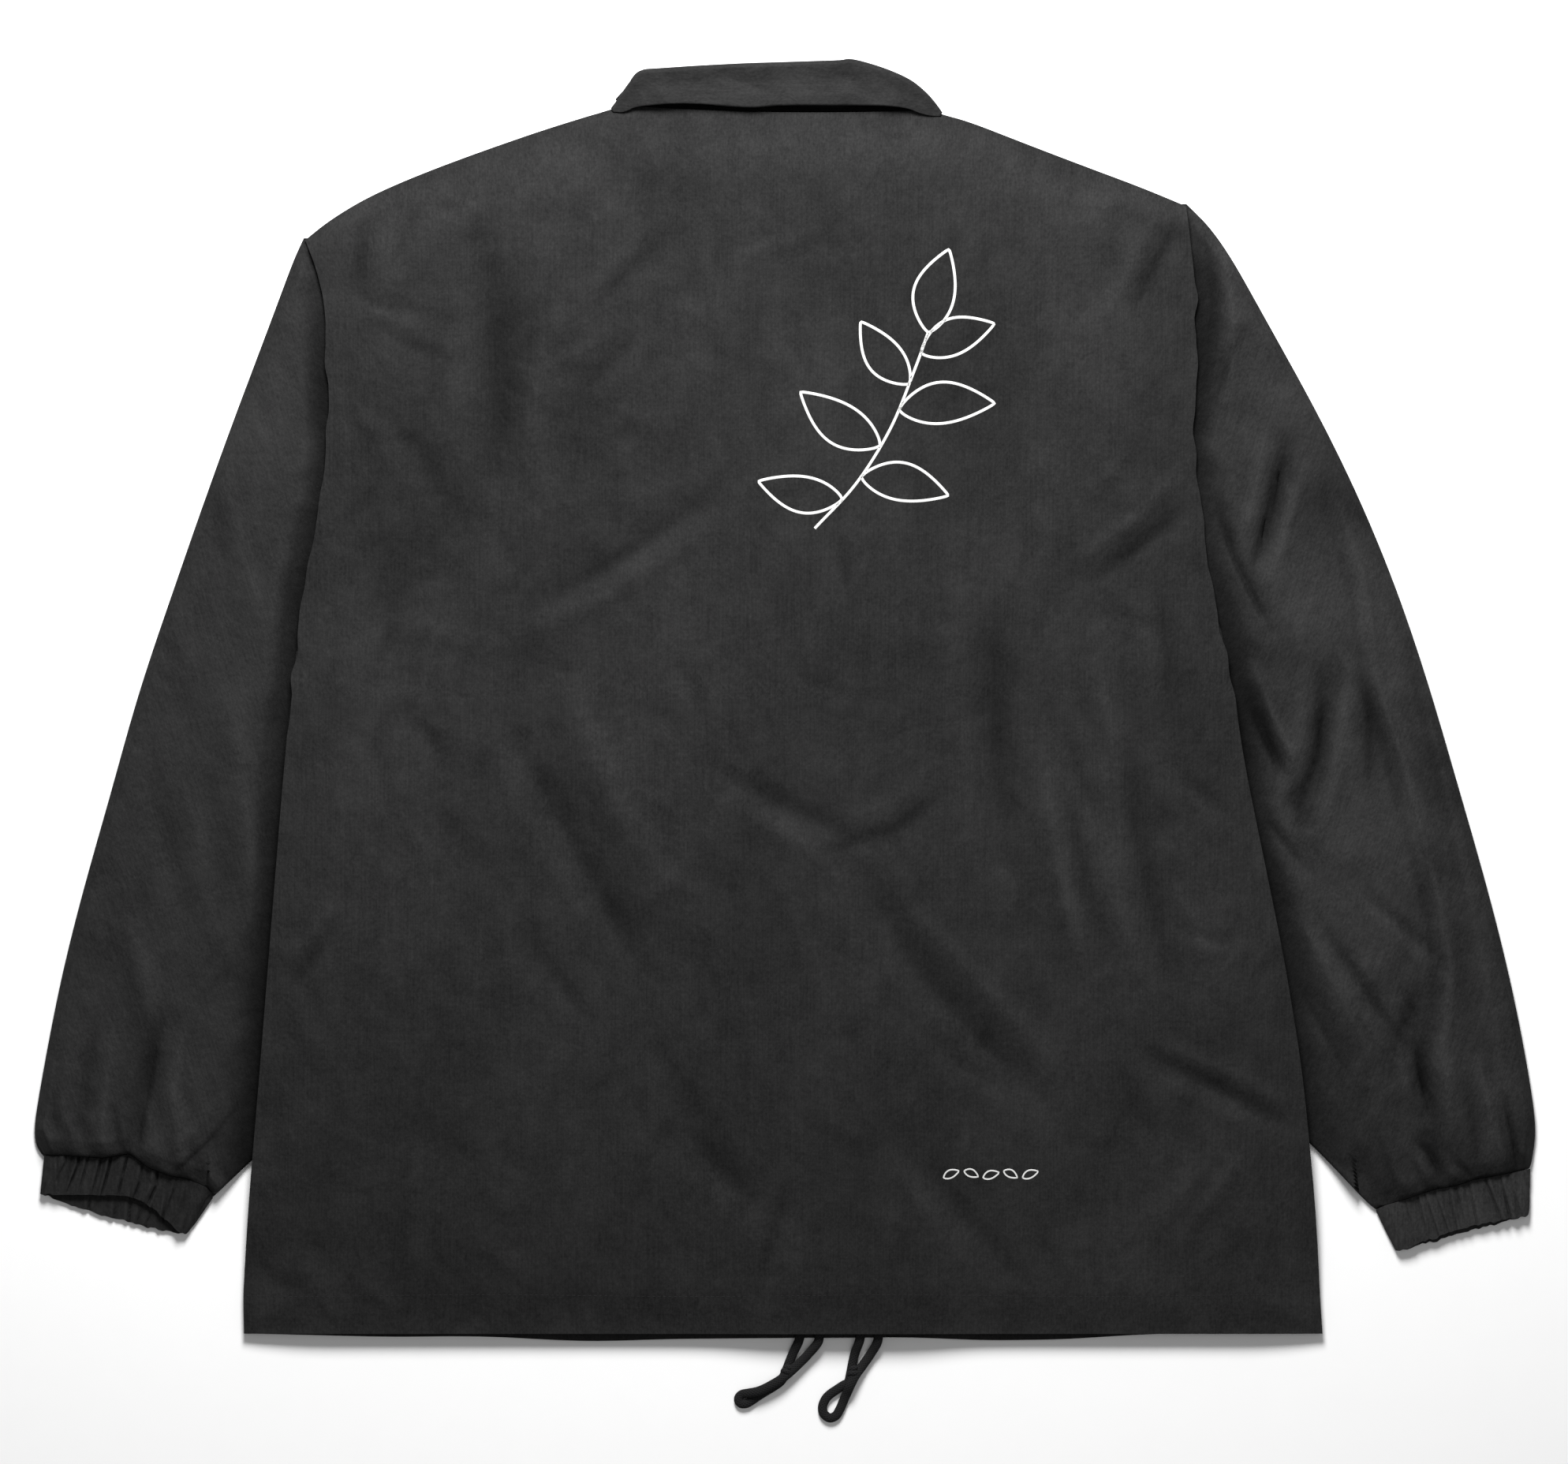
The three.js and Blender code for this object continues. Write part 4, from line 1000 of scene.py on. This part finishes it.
# Cuffs: cloth gathered in uneven pleats by the elastic inside
cuffLook = {
    "left": {
        "pitch": 4.4,
        "seed": 5,
        "busy": [(0, 0.35), (0.12, 0.5), (0.22, 1), (0.72, 1), (0.8, 0.4), (1, 0.25)],
        "middles": [4, 6, 18, 22],
        "reach": (5, 11),
        "slant": (0.02, 0.16),
        "height": 1.15,
        "shade": (1.3, 3.1),  # painted highlight of the ridges, painted shade of the grooves
        "dye": 0.8,
        "opening": [(-436, 0), (-402, 0.7), (-384, 4), (-376, 6), (-370, 5.8), (-361, 2.8), (-354, 0)],
    },
    "right": {
        "pitch": 7.4,
        "seed": 9,
        "busy": [(0, 0.8), (0.2, 1), (0.6, 1), (0.74, 0.5), (0.82, 0.25), (1, 0.2)],
        "middles": [7, 10, 13, 16],
        "reach": (12, 18),
        "slant": (0.0, 0.07),
        "height": 0.7,
        "shade": (1.1, 1.5),
        "dye": 1.6,
        "opening": [(350, 0), (440, 0)],
    },
}


# How far a point is along the cuff's seam and below it, and the seam's length
def cuffRun(side, x, y):
    start, end = np.array(seamLines[side]["straight"])
    span = np.linalg.norm(end - start)
    dx, dy = (end - start) / span
    run = (x - start[0]) * dx + (y - start[1]) * dy
    down = np.abs((y - start[1]) * dx - (x - start[0]) * dy)
    return run, down, span


def cuffShift(side):
    look = cuffLook[side]

    def shift(points):
        x, y, z = points.T
        run, down, span = cuffRun(side, x, y)
        upper = np.clip((z - 2) / 0.8, 0, 1)
        level = np.clip(down / 23, 0, 1)
        move = upper * (seamSlip(side, x) * (1 - ease(level)) + onLine(look["opening"], x) * ease(level))
        teeth = 0.55 * softNoise(run, down * 0, 2.3, look["seed"])
        teeth += 0.5 * softNoise(run, down * 0, 5.1, look["seed"] + 1)
        move += teeth * ease((level - 0.55) / 0.4) * ease(np.minimum(run, span - run) / 6)
        return np.column_stack([0 * x, move])
    return shift


def cuffRelief(side):
    look = cuffLook[side]

    def relief(points):
        x, y = points[:, 0], points[:, 1]
        run, down, span = cuffRun(side, x, y)
        rng = np.random.default_rng(look["seed"])
        ridges, grooves = np.zeros(x.shape), np.zeros(x.shape)
        place = 2.5
        while place < span - 2:
            wide = rng.uniform(1.5, 2.6)
            tall = rng.uniform(0.5, 1.15) * onLine(look["busy"], place / span)
            slant = rng.normal(*look["slant"])
            middle = rng.choice(look["middles"])
            reach = rng.uniform(*look["reach"])
            away = run - place - slant * down
            ridges += tall * np.exp(-2 * (away / wide) ** 2) * np.exp(-((down - middle) / (reach * 1.3)) ** 2)
            away = away - wide * rng.uniform(0.8, 1.2)
            grooves += tall * np.exp(-2 * (away / 0.85) ** 2) * np.exp(-((down - middle) / reach) ** 2)
            place += look["pitch"] * rng.uniform(0.6, 1.4)
        ends = ease(np.minimum(run, span - run) / 4)
        height = (ridges - 1.25 * grooves - 0.15) * look["height"] * ends
        # The second value paints highlight on the pleats' ridges and shade in their grooves
        raised, hollow = look["shade"]
        return np.maximum(height, -1.3), (raised * ridges - hollow * grooves) * ends
    return relief


def makeCuff(side, name, node):
    cloth = clothMaterial(side + "CuffCloth", clothLook, 0.0, cuffLook[side]["dye"])
    dress(name, node, cloth, 3, 75, cuffRelief(side), cuffRelief(side), cuffShift(side))


makeCuff("left", "cuffLeft", "cuff_left")
makeCuff("right", "cuffRight", "cuff_right")

# Collar: the solid's shape underneath, and over its back half the outer ply rolled over the top
collarLook = {
    "edge": [
        (-100.8, 343.0), (-95, 342.6), (-91, 343.8), (-86, 345.5), (-68.1, 347.1), (-49.9, 347.0),
        (-22.2, 345.0), (-0.6, 346.2), (34.5, 346.2), (56.1, 346.0), (70, 344.6), (78, 342.0),
        (84, 340.6), (90.5, 340.4),
    ],
    "roll": [
        (-101.8, 345.0), (-98, 350.4), (-92, 359), (-85, 366.8), (-70, 368.6), (-30, 371), (0, 372),
        (30, 373), (39, 373.6), (56.1, 368.9), (71.7, 362.2), (81.3, 355), (87.5, 348.2), (91.4, 342.6),
    ],
    "columns": 150,
    "rows": 22,
    "curl": 9,  # rows that go round the roll
    "cloth": 1.3,
    "rollHigh": 9.2,
    "edgeHigh": 11.4,
    "sideHigh": 6.4,
    "bend": 3.2,
    "crumple": [(50, 0.4, 8, 2.0), (21, 0.2, 4, 1.7), (9, 0.1, 0, 1.3)],
    "creases": [
        (-40, 366, -20, 358, -6, 350, 7, -0.7, 0.2), (30, 364, 44, 356, 52, 350, 5, -0.8, 0.3),
        (-70, 362, -74, 356, -70, 351, 6, 0.5, 0.1),
    ],
    "gapShade": 9.0,  # painted shade inside, under the ply's free edge
    "gapDrop": 2.2,
    "dye": 0.76,
}


def evenAlong(line, count):
    fine, _ = throughPoints([(x, y, 0) for x, y in line], 0.5)
    spots = np.linspace(0, len(fine) - 1, count)
    return np.stack([np.interp(spots, np.arange(len(fine)), fine[:, k]) for k in range(2)], axis=1)


# Grid of the outer ply: from its free edge up to the roll and down behind it
def collarPly(look):
    edge = evenAlong(look["edge"], look["columns"])
    roll = evenAlong(look["roll"], look["columns"])
    out = roll - edge
    reach = np.linalg.norm(out, axis=1)
    out = out / reach[:, None]
    bend = np.minimum(look["bend"], reach * 0.45)
    share = np.linspace(0, 1, look["columns"])
    middle = ease(np.minimum(share, 1 - share) / 0.17)
    high = look["sideHigh"] + middle * (look["rollHigh"] - look["sideHigh"])
    walls = []
    for inset in (0, look["cloth"]):
        radius = np.maximum(bend - inset, 0.15)
        rows = []
        for r in range(look["rows"] + look["curl"]):
            flat = min(r / (look["rows"] - 1), 1)
            angle = math.radians(150) * max(0, r - look["rows"] + 1) / look["curl"]
            lift = (look["edgeHigh"] - look["rollHigh"]) * middle * ease(1 - flat / 0.75)
            centre = edge + out * (reach - bend)[:, None] * flat
            place = centre + out * (radius * math.sin(angle))[:, None]
            x, y = place.T
            soft = crumple(x, y, look["crumple"], 201) + creased(x, y, look["creases"])
            z = high + lift - bend + radius * math.cos(angle) + soft * middle * math.cos(angle / 2)
            rows.append(np.column_stack([place, z]))
        walls.append(np.array(rows))
    return walls


def wallFaces(rows, columns):
    faces = []
    over = lambda r, c: r * columns + c
    under = lambda r, c: rows * columns + r * columns + c
    for r in range(rows - 1):
        for c in range(columns - 1):
            faces.append((over(r, c), over(r, c + 1), over(r + 1, c + 1), over(r + 1, c)))
            faces.append((under(r, c), under(r + 1, c), under(r + 1, c + 1), under(r, c + 1)))
        last = columns - 1
        faces.append((over(r, 0), over(r + 1, 0), under(r + 1, 0), under(r, 0)))
        faces.append((over(r, last), under(r, last), under(r + 1, last), over(r + 1, last)))
    for c in range(columns - 1):
        top = rows - 1
        faces.append((over(0, c + 1), over(0, c), under(0, c), under(0, c + 1)))
        faces.append((over(top, c), over(top, c + 1), under(top, c + 1), under(top, c)))
    return faces


# The solid's own ply is let down and drawn in, so that it stays under the rolled one
def innerPly(y, z):
    return ease((z - 4.0) / 0.8) * ease((y - 336) / 5)


# The second value paints near-black shade under the ply's free edge
def collarUnder(points):
    x, y, z = points.T
    inner = ease((x + 97) / 6) * ease((88 - x) / 6)
    gap = inner * ease((y - 336) / 3) * (1 - ease((y - 354) / 4)) * ease((z - 1.9) / 0.6)
    return -collarLook["gapDrop"] * innerPly(y, z), -collarLook["gapShade"] * gap


def collarTuck(points):
    x, y, z = points.T
    share = innerPly(y, z)
    return np.column_stack([-0.02 * x * share, -0.8 * share])


def makeCollar(look):
    cloth = clothMaterial("collarCloth", clothLook, math.radians(90), look["dye"])
    over, under = collarPly(look)
    points = np.vstack([over.reshape(-1, 3), under.reshape(-1, 3)]) * mm
    ply = edited(meshFrom("collarPly", points, wallFaces(*over.shape[:2]), cloth), turnOutward)
    base = dress("jacketCollar", "collar", cloth, 2, 80, collarUnder, shift=collarTuck)
    edited(base.data, lambda bm: bm.from_mesh(ply))


makeCollar(collarLook)
print("cloth dressed")

# Geometry Nodes: a tree with these inputs and a material, which is set on what is realized
def newTree(name, floats, objects):
    tree = bpy.data.node_groups.new(name, "GeometryNodeTree")
    tree.interface.new_socket("Geometry", in_out="INPUT", socket_type="NodeSocketGeometry")
    for kind, labels in (("Float", floats), ("Object", objects), ("Material", ("Material",))):
        for label in labels:
            tree.interface.new_socket(label, in_out="INPUT", socket_type="NodeSocket" + kind)
    tree.interface.new_socket("Geometry", in_out="OUTPUT", socket_type="NodeSocketGeometry")
    return tree, tree.nodes.new("NodeGroupInput").outputs


def closeTree(tree, given, geometry):
    real = addNode(tree, "GeometryNodeRealizeInstances", Geometry=geometry).outputs[0]
    done = addNode(tree, "GeometryNodeSetMaterial", Geometry=real, Material=given["Material"]).outputs[0]
    tree.links.new(done, tree.nodes.new("NodeGroupOutput").inputs[0])
    return tree


# Sets the named inputs by their identifiers, and keeps the result as a plain mesh
def runTree(item, tree, values, name):
    modifier = item.modifiers.new(name, "NODES")
    modifier.node_group = tree
    for socket in tree.interface.items_tree:
        if socket.in_out == "INPUT" and socket.name in values:
            modifier[socket.identifier] = values[socket.name]
    mesh = evaluated(item)
    mesh.name = name
    item.modifiers.remove(modifier)
    bpy.data.objects.remove(item)
    return addObject(name, mesh)


# Moves points straight onto the cloth, from above or below, and keeps their own small height
def ontoCloth(tree, given, geometry):
    away, longest = 0.06, 0.2
    side = given["Side"]
    place = addNode(tree, "GeometryNodeInputPosition").outputs[0]
    x, y, z = addNode(tree, "ShaderNodeSeparateXYZ", Vector=place).outputs
    cloth = addNode(tree, "GeometryNodeObjectInfo", Object=given["Cloth"]).outputs["Geometry"]
    far = calc(tree, "MULTIPLY", side, away)
    start = addNode(tree, "ShaderNodeCombineXYZ", X=x, Y=y, Z=far).outputs[0]
    aim = addNode(tree, "ShaderNodeCombineXYZ", Z=calc(tree, "MULTIPLY", side, -1.0)).outputs[0]
    ray = addNode(tree, "GeometryNodeRaycast", **{
        "Target Geometry": cloth, "Source Position": start, "Ray Direction": aim, "Ray Length": longest,
    })
    hit = addNode(tree, "ShaderNodeSeparateXYZ", Vector=ray.outputs["Hit Position"]).outputs[2]
    height = calc(tree, "ADD", hit, calc(tree, "MULTIPLY_ADD", side, given["Lift"], z))
    final = addNode(tree, "ShaderNodeCombineXYZ", X=x, Y=y, Z=height).outputs[0]
    return addNode(tree, "GeometryNodeSetPosition",
                   Geometry=geometry, Selection=ray.outputs["Is Hit"], Position=final).outputs[0]


def curveObject(name, lines):
    data = bpy.data.curves.new(name, "CURVE")
    data.dimensions = "3D"
    data.twist_mode = "Z_UP"
    for line in lines:
        spline = data.splines.new("POLY")
        spline.points.add(len(line) - 1)
        for point, place in zip(spline.points, line):
            x, y = place[:2]
            point.co = (x * mm, y * mm, 0, 1)
    return addObject(name, data)


stitchLook = {"pitch": 3.1, "long": 2.1, "thick": 0.36, "sink": -0.06}


def stitchTree():
    tree, given = newTree("stitchRow", ("Pitch", "Stitch length", "Thread", "Side", "Lift"), ("Cloth",))
    rows = addNode(tree, "GeometryNodeResampleCurve", {"mode": "LENGTH"},
                   Curve=given["Geometry"], Length=given["Pitch"])
    points = addNode(tree, "GeometryNodeCurveToPoints", {"mode": "EVALUATED"}, Curve=rows.outputs[0])
    seated = ontoCloth(tree, given, points.outputs["Points"])
    bead = addNode(tree, "GeometryNodeMeshUVSphere", Segments=6, Rings=5, Radius=0.5)
    thick = given["Thread"]
    size = addNode(tree, "ShaderNodeCombineXYZ", X=thick, Y=thick, Z=given["Stitch length"])
    shaped = addNode(tree, "GeometryNodeTransform", Geometry=bead.outputs[0], Scale=size.outputs[0])
    placed = addNode(tree, "GeometryNodeInstanceOnPoints", Points=seated, Instance=shaped.outputs[0],
                     Rotation=points.outputs["Rotation"])
    return closeTree(tree, given, placed.outputs[0])


thread = flatMaterial("thread", (0.0055, 0.0055, 0.0057), 0.85, bumpHeight=0.00005)
stitches = stitchTree()


def stitchRow(name, line, cloth, side):
    row = runTree(curveObject(name + "Path", [line]), stitches, {
        "Pitch": stitchLook["pitch"] * mm, "Stitch length": stitchLook["long"] * mm,
        "Thread": stitchLook["thick"] * mm, "Side": side, "Lift": stitchLook["sink"] * mm,
        "Cloth": cloth, "Material": thread,
    }, name)
    seat(row, "shell_fabric")


def hemRow(x1, x2, y):
    return [(x, y + 0.5 * math.sin(x / 37)) for x in np.linspace(x1, x2, 160)]


def closureRow(inset):
    return [(closureAt(y) - inset, y) for y in np.linspace(-348, 255, 120)]


stitchRow("hemStitchBack", hemRow(-313, 309, -346.6), backPanel, 1.0)
stitchRow("hemStitchLeft", hemRow(-313, 30, -350.4), frontLeft, -1.0)
stitchRow("hemStitchRight", hemRow(48, 309, -350.4), frontRight, -1.0)
stitchRow("closureStitch", closureRow(12.5), frontLeft, -1.0)

# Prints: a leaf sprig and a row of leaves in outline, each a thin film on the cloth
printLook = {
    "middle": (63, 170),
    "line": 1.7,
    "film": 0.16,
    "stem": [(-46, -70), (-22, -44), (-2, -12), (12, 22), (20, 44)],
    "leaves": [  # root on the stem, length, width, direction in degrees
        (-30, -53, 50, 21, 168), (-19, -40, 52, 22, -12), (-8, -22, 56, 24, 146), (3, -1, 56, 24, 4),
        (9, 14, 46, 21, 128), (16, 32, 46, 21, 22), (20, 44, 50, 24, 76),
    ],
}
leafRowLook = {
    "middle": (119, -276),
    "line": 0.9,
    "film": 0.12,
    "stem": [],
    "leaves": [
        (-27, -2, 10, 4.6, 24), (-15, 2, 9, 4.4, -22), (-4, -2, 10, 4.6, 18), (8, 2, 9, 4.4, -26),
        (19, -2, 10, 4.6, 22),
    ],
}


# Almond outline from the root round the tip and back
def leafLine(x, y, length, width, direction):
    c, s = math.cos(math.radians(direction)), math.sin(math.radians(direction))
    line = []
    for i in range(61):
        t = 2 * i / 60
        along = t if t <= 1 else 2 - t
        half = width / 2 * math.sin(math.pi * along**0.85) ** 0.9 * (1 if t <= 1 else -1)
        px, py = along * length, half + 0.044 * length * math.sin(math.pi * along)
        line.append((x + px * c - py * s, y + px * s + py * c))
    return line


def printTree():
    tree, given = newTree("printedLine", ("Line width", "Film", "Step", "Side", "Lift"), ("Cloth",))
    even = addNode(tree, "GeometryNodeResampleCurve", {"mode": "LENGTH"},
                   Curve=given["Geometry"], Length=given["Step"])
    band = addNode(tree, "GeometryNodeCurvePrimitiveQuadrilateral", {"mode": "RECTANGLE"},
                   Width=given["Line width"], Height=given["Film"])
    fineBand = addNode(tree, "GeometryNodeResampleCurve", {"mode": "COUNT"}, Curve=band.outputs[0], Count=14)
    drawn = addNode(tree, "GeometryNodeCurveToMesh", **{
        "Curve": even.outputs[0], "Profile Curve": fineBand.outputs[0], "Fill Caps": True,
    })
    return closeTree(tree, given, ontoCloth(tree, given, drawn.outputs[0]))


def makePrint(name, look, tree, ink):
    ox, oy = look["middle"]
    lines = []
    if look["stem"]:
        lines.append(throughPoints([(x + ox, y + oy, 0) for x, y in look["stem"]], 2)[0])
    lines += [leafLine(x + ox, y + oy, *shape) for x, y, *shape in look["leaves"]]
    design = runTree(curveObject(name + "Path", lines), tree, {
        "Line width": look["line"] * mm, "Film": look["film"] * mm, "Step": 1.2 * mm, "Side": 1.0,
        "Lift": 0.1 * mm, "Cloth": backPanel, "Material": ink,
    }, name)
    seat(design, "print_ink")


printInk = flatMaterial("printInk", (0.55, 0.55, 0.54), 0.5, bumpHeight=0.00002, spread=0.04)
printedLine = printTree()
makePrint("sprigPrint", printLook, printedLine, printInk)
makePrint("leafRowPrint", leafRowLook, printedLine, printInk)

# Snaps under the left front, and eyelets in the front hem
snapLook = {
    "profile": [
        (0, 0.12), (2.2, 0.16), (2.9, 0.34), (3.5, 0.30), (4.6, 0.05), (5.7, 0.02), (6.3, 0.2),
        (6.5, 0.5), (6.4, 0.85), (6.0, 0.9), (0, 0.9),
    ],
    "closed": False,
    "nodes": ["snap_1", "snap_2", "snap_3", "snap_4", "snap_5"],
}
eyeletLook = {
    "profile": [
        (2.2, 0.1), (2.5, 0.0), (3.4, -0.12), (4.4, -0.05), (5.0, 0.15), (4.9, 0.5), (4.2, 0.7),
        (2.5, 0.7), (2.2, 0.5),
    ],
    "closed": True,
    "nodes": ["eyelet_left", "eyelet_right"],
}


# A small part turned round the vertical
def turned(name, profile, closed, segments=40):
    points, faces, rings = [], [], []
    angles = [2 * math.pi * k / segments for k in range(segments)]
    for radius, height in profile:
        if radius == 0:
            rings.append([len(points)] * segments)
            points.append((0, 0, height))
            continue
        rings.append([len(points) + k for k in range(segments)])
        points += [(radius * math.cos(a), radius * math.sin(a), height) for a in angles]
    joins = list(zip(rings, rings[1:])) + ([(rings[-1], rings[0])] if closed else [])
    for low, high in joins:
        for k in range(segments):
            n = (k + 1) % segments
            faces.append(tuple(dict.fromkeys([low[k], low[n], high[n], high[k]])))
    return edited(meshFrom(name, np.array(points) * mm, faces), turnOutward)


def rivetTree():
    tree, given = newTree("setInPlace", (), ("Part",))
    part = addNode(tree, "GeometryNodeObjectInfo", Object=given["Part"])
    points = addNode(tree, "GeometryNodeMeshToPoints", Mesh=given["Geometry"])
    placed = addNode(tree, "GeometryNodeInstanceOnPoints",
                     Points=points.outputs[0], Instance=part.outputs["Geometry"])
    return closeTree(tree, given, placed.outputs[0])


rivets = rivetTree()


def setParts(name, look, material, slot):
    part = addObject(name + "Part", turned(name + "Part", look["profile"], look["closed"]))
    places = []
    for node in look["nodes"]:
        low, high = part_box(node)
        places.append(((low[0] + high[0]) / 2, (low[1] + high[1]) / 2, low[2]))
    spots = bpy.data.meshes.new(name + "Spots")
    spots.from_pydata(places, [], [])
    row = runTree(addObject(name + "Spots", spots), rivets, {"Part": part, "Material": material}, name)
    bpy.data.objects.remove(part)
    row.data.polygons.foreach_set("use_smooth", [True] * len(row.data.polygons))
    seat(row, slot, *look["nodes"])


snapLacquer = flatMaterial("snapLacquer", (0.02, 0.02, 0.021), 0.35, 0.2, 0.0012)
eyeletMetal = flatMaterial("eyeletMetal", (0.1, 0.1, 0.105), 0.35, 0.9, 0.0008)
setParts("snapCaps", snapLook, snapLacquer, "snap_cap")
setParts("hemEyelets", eyeletLook, eyeletMetal, "eyelet_metal")
print("fastenings set")

# Studio
def areaLight(name, place, size, power, aim=(0, 0, 0)):
    data = bpy.data.lights.new(name, "AREA")
    data.shape = "DISK"
    data.size = size
    data.energy = power
    light = addObject(name, data)
    light.location = place
    light.rotation_euler = (Vector(aim) - Vector(place)).to_track_quat("-Z", "Y").to_euler()


for light in ("key", "fill"):
    areaLight(light + "Light", studio[light + "Place"], studio[light + "Size"], studio[light + "Power"])
world = bpy.data.worlds.new("studioAir")
world.use_nodes = True
world.node_tree.nodes["Background"].inputs["Color"].default_value = (1, 1, 1, 1)
world.node_tree.nodes["Background"].inputs["Strength"].default_value = studio["worldStrength"]
scene.world = world
scene.view_settings.view_transform = "Standard"

half, drop = studio["floorHalf"], studio["floorDrop"]
corners = [(-half, -half, drop), (half, -half, drop), (half, half, drop), (-half, half, drop)]
paper = flatMaterial("paperFloor", (0.82, 0.82, 0.82), 0.9, 0.0, 0.02, 0.00001, 0.01)
addObject("floor", meshFrom("floor", corners, [(0, 1, 2, 3)], paper))
print("studio set")
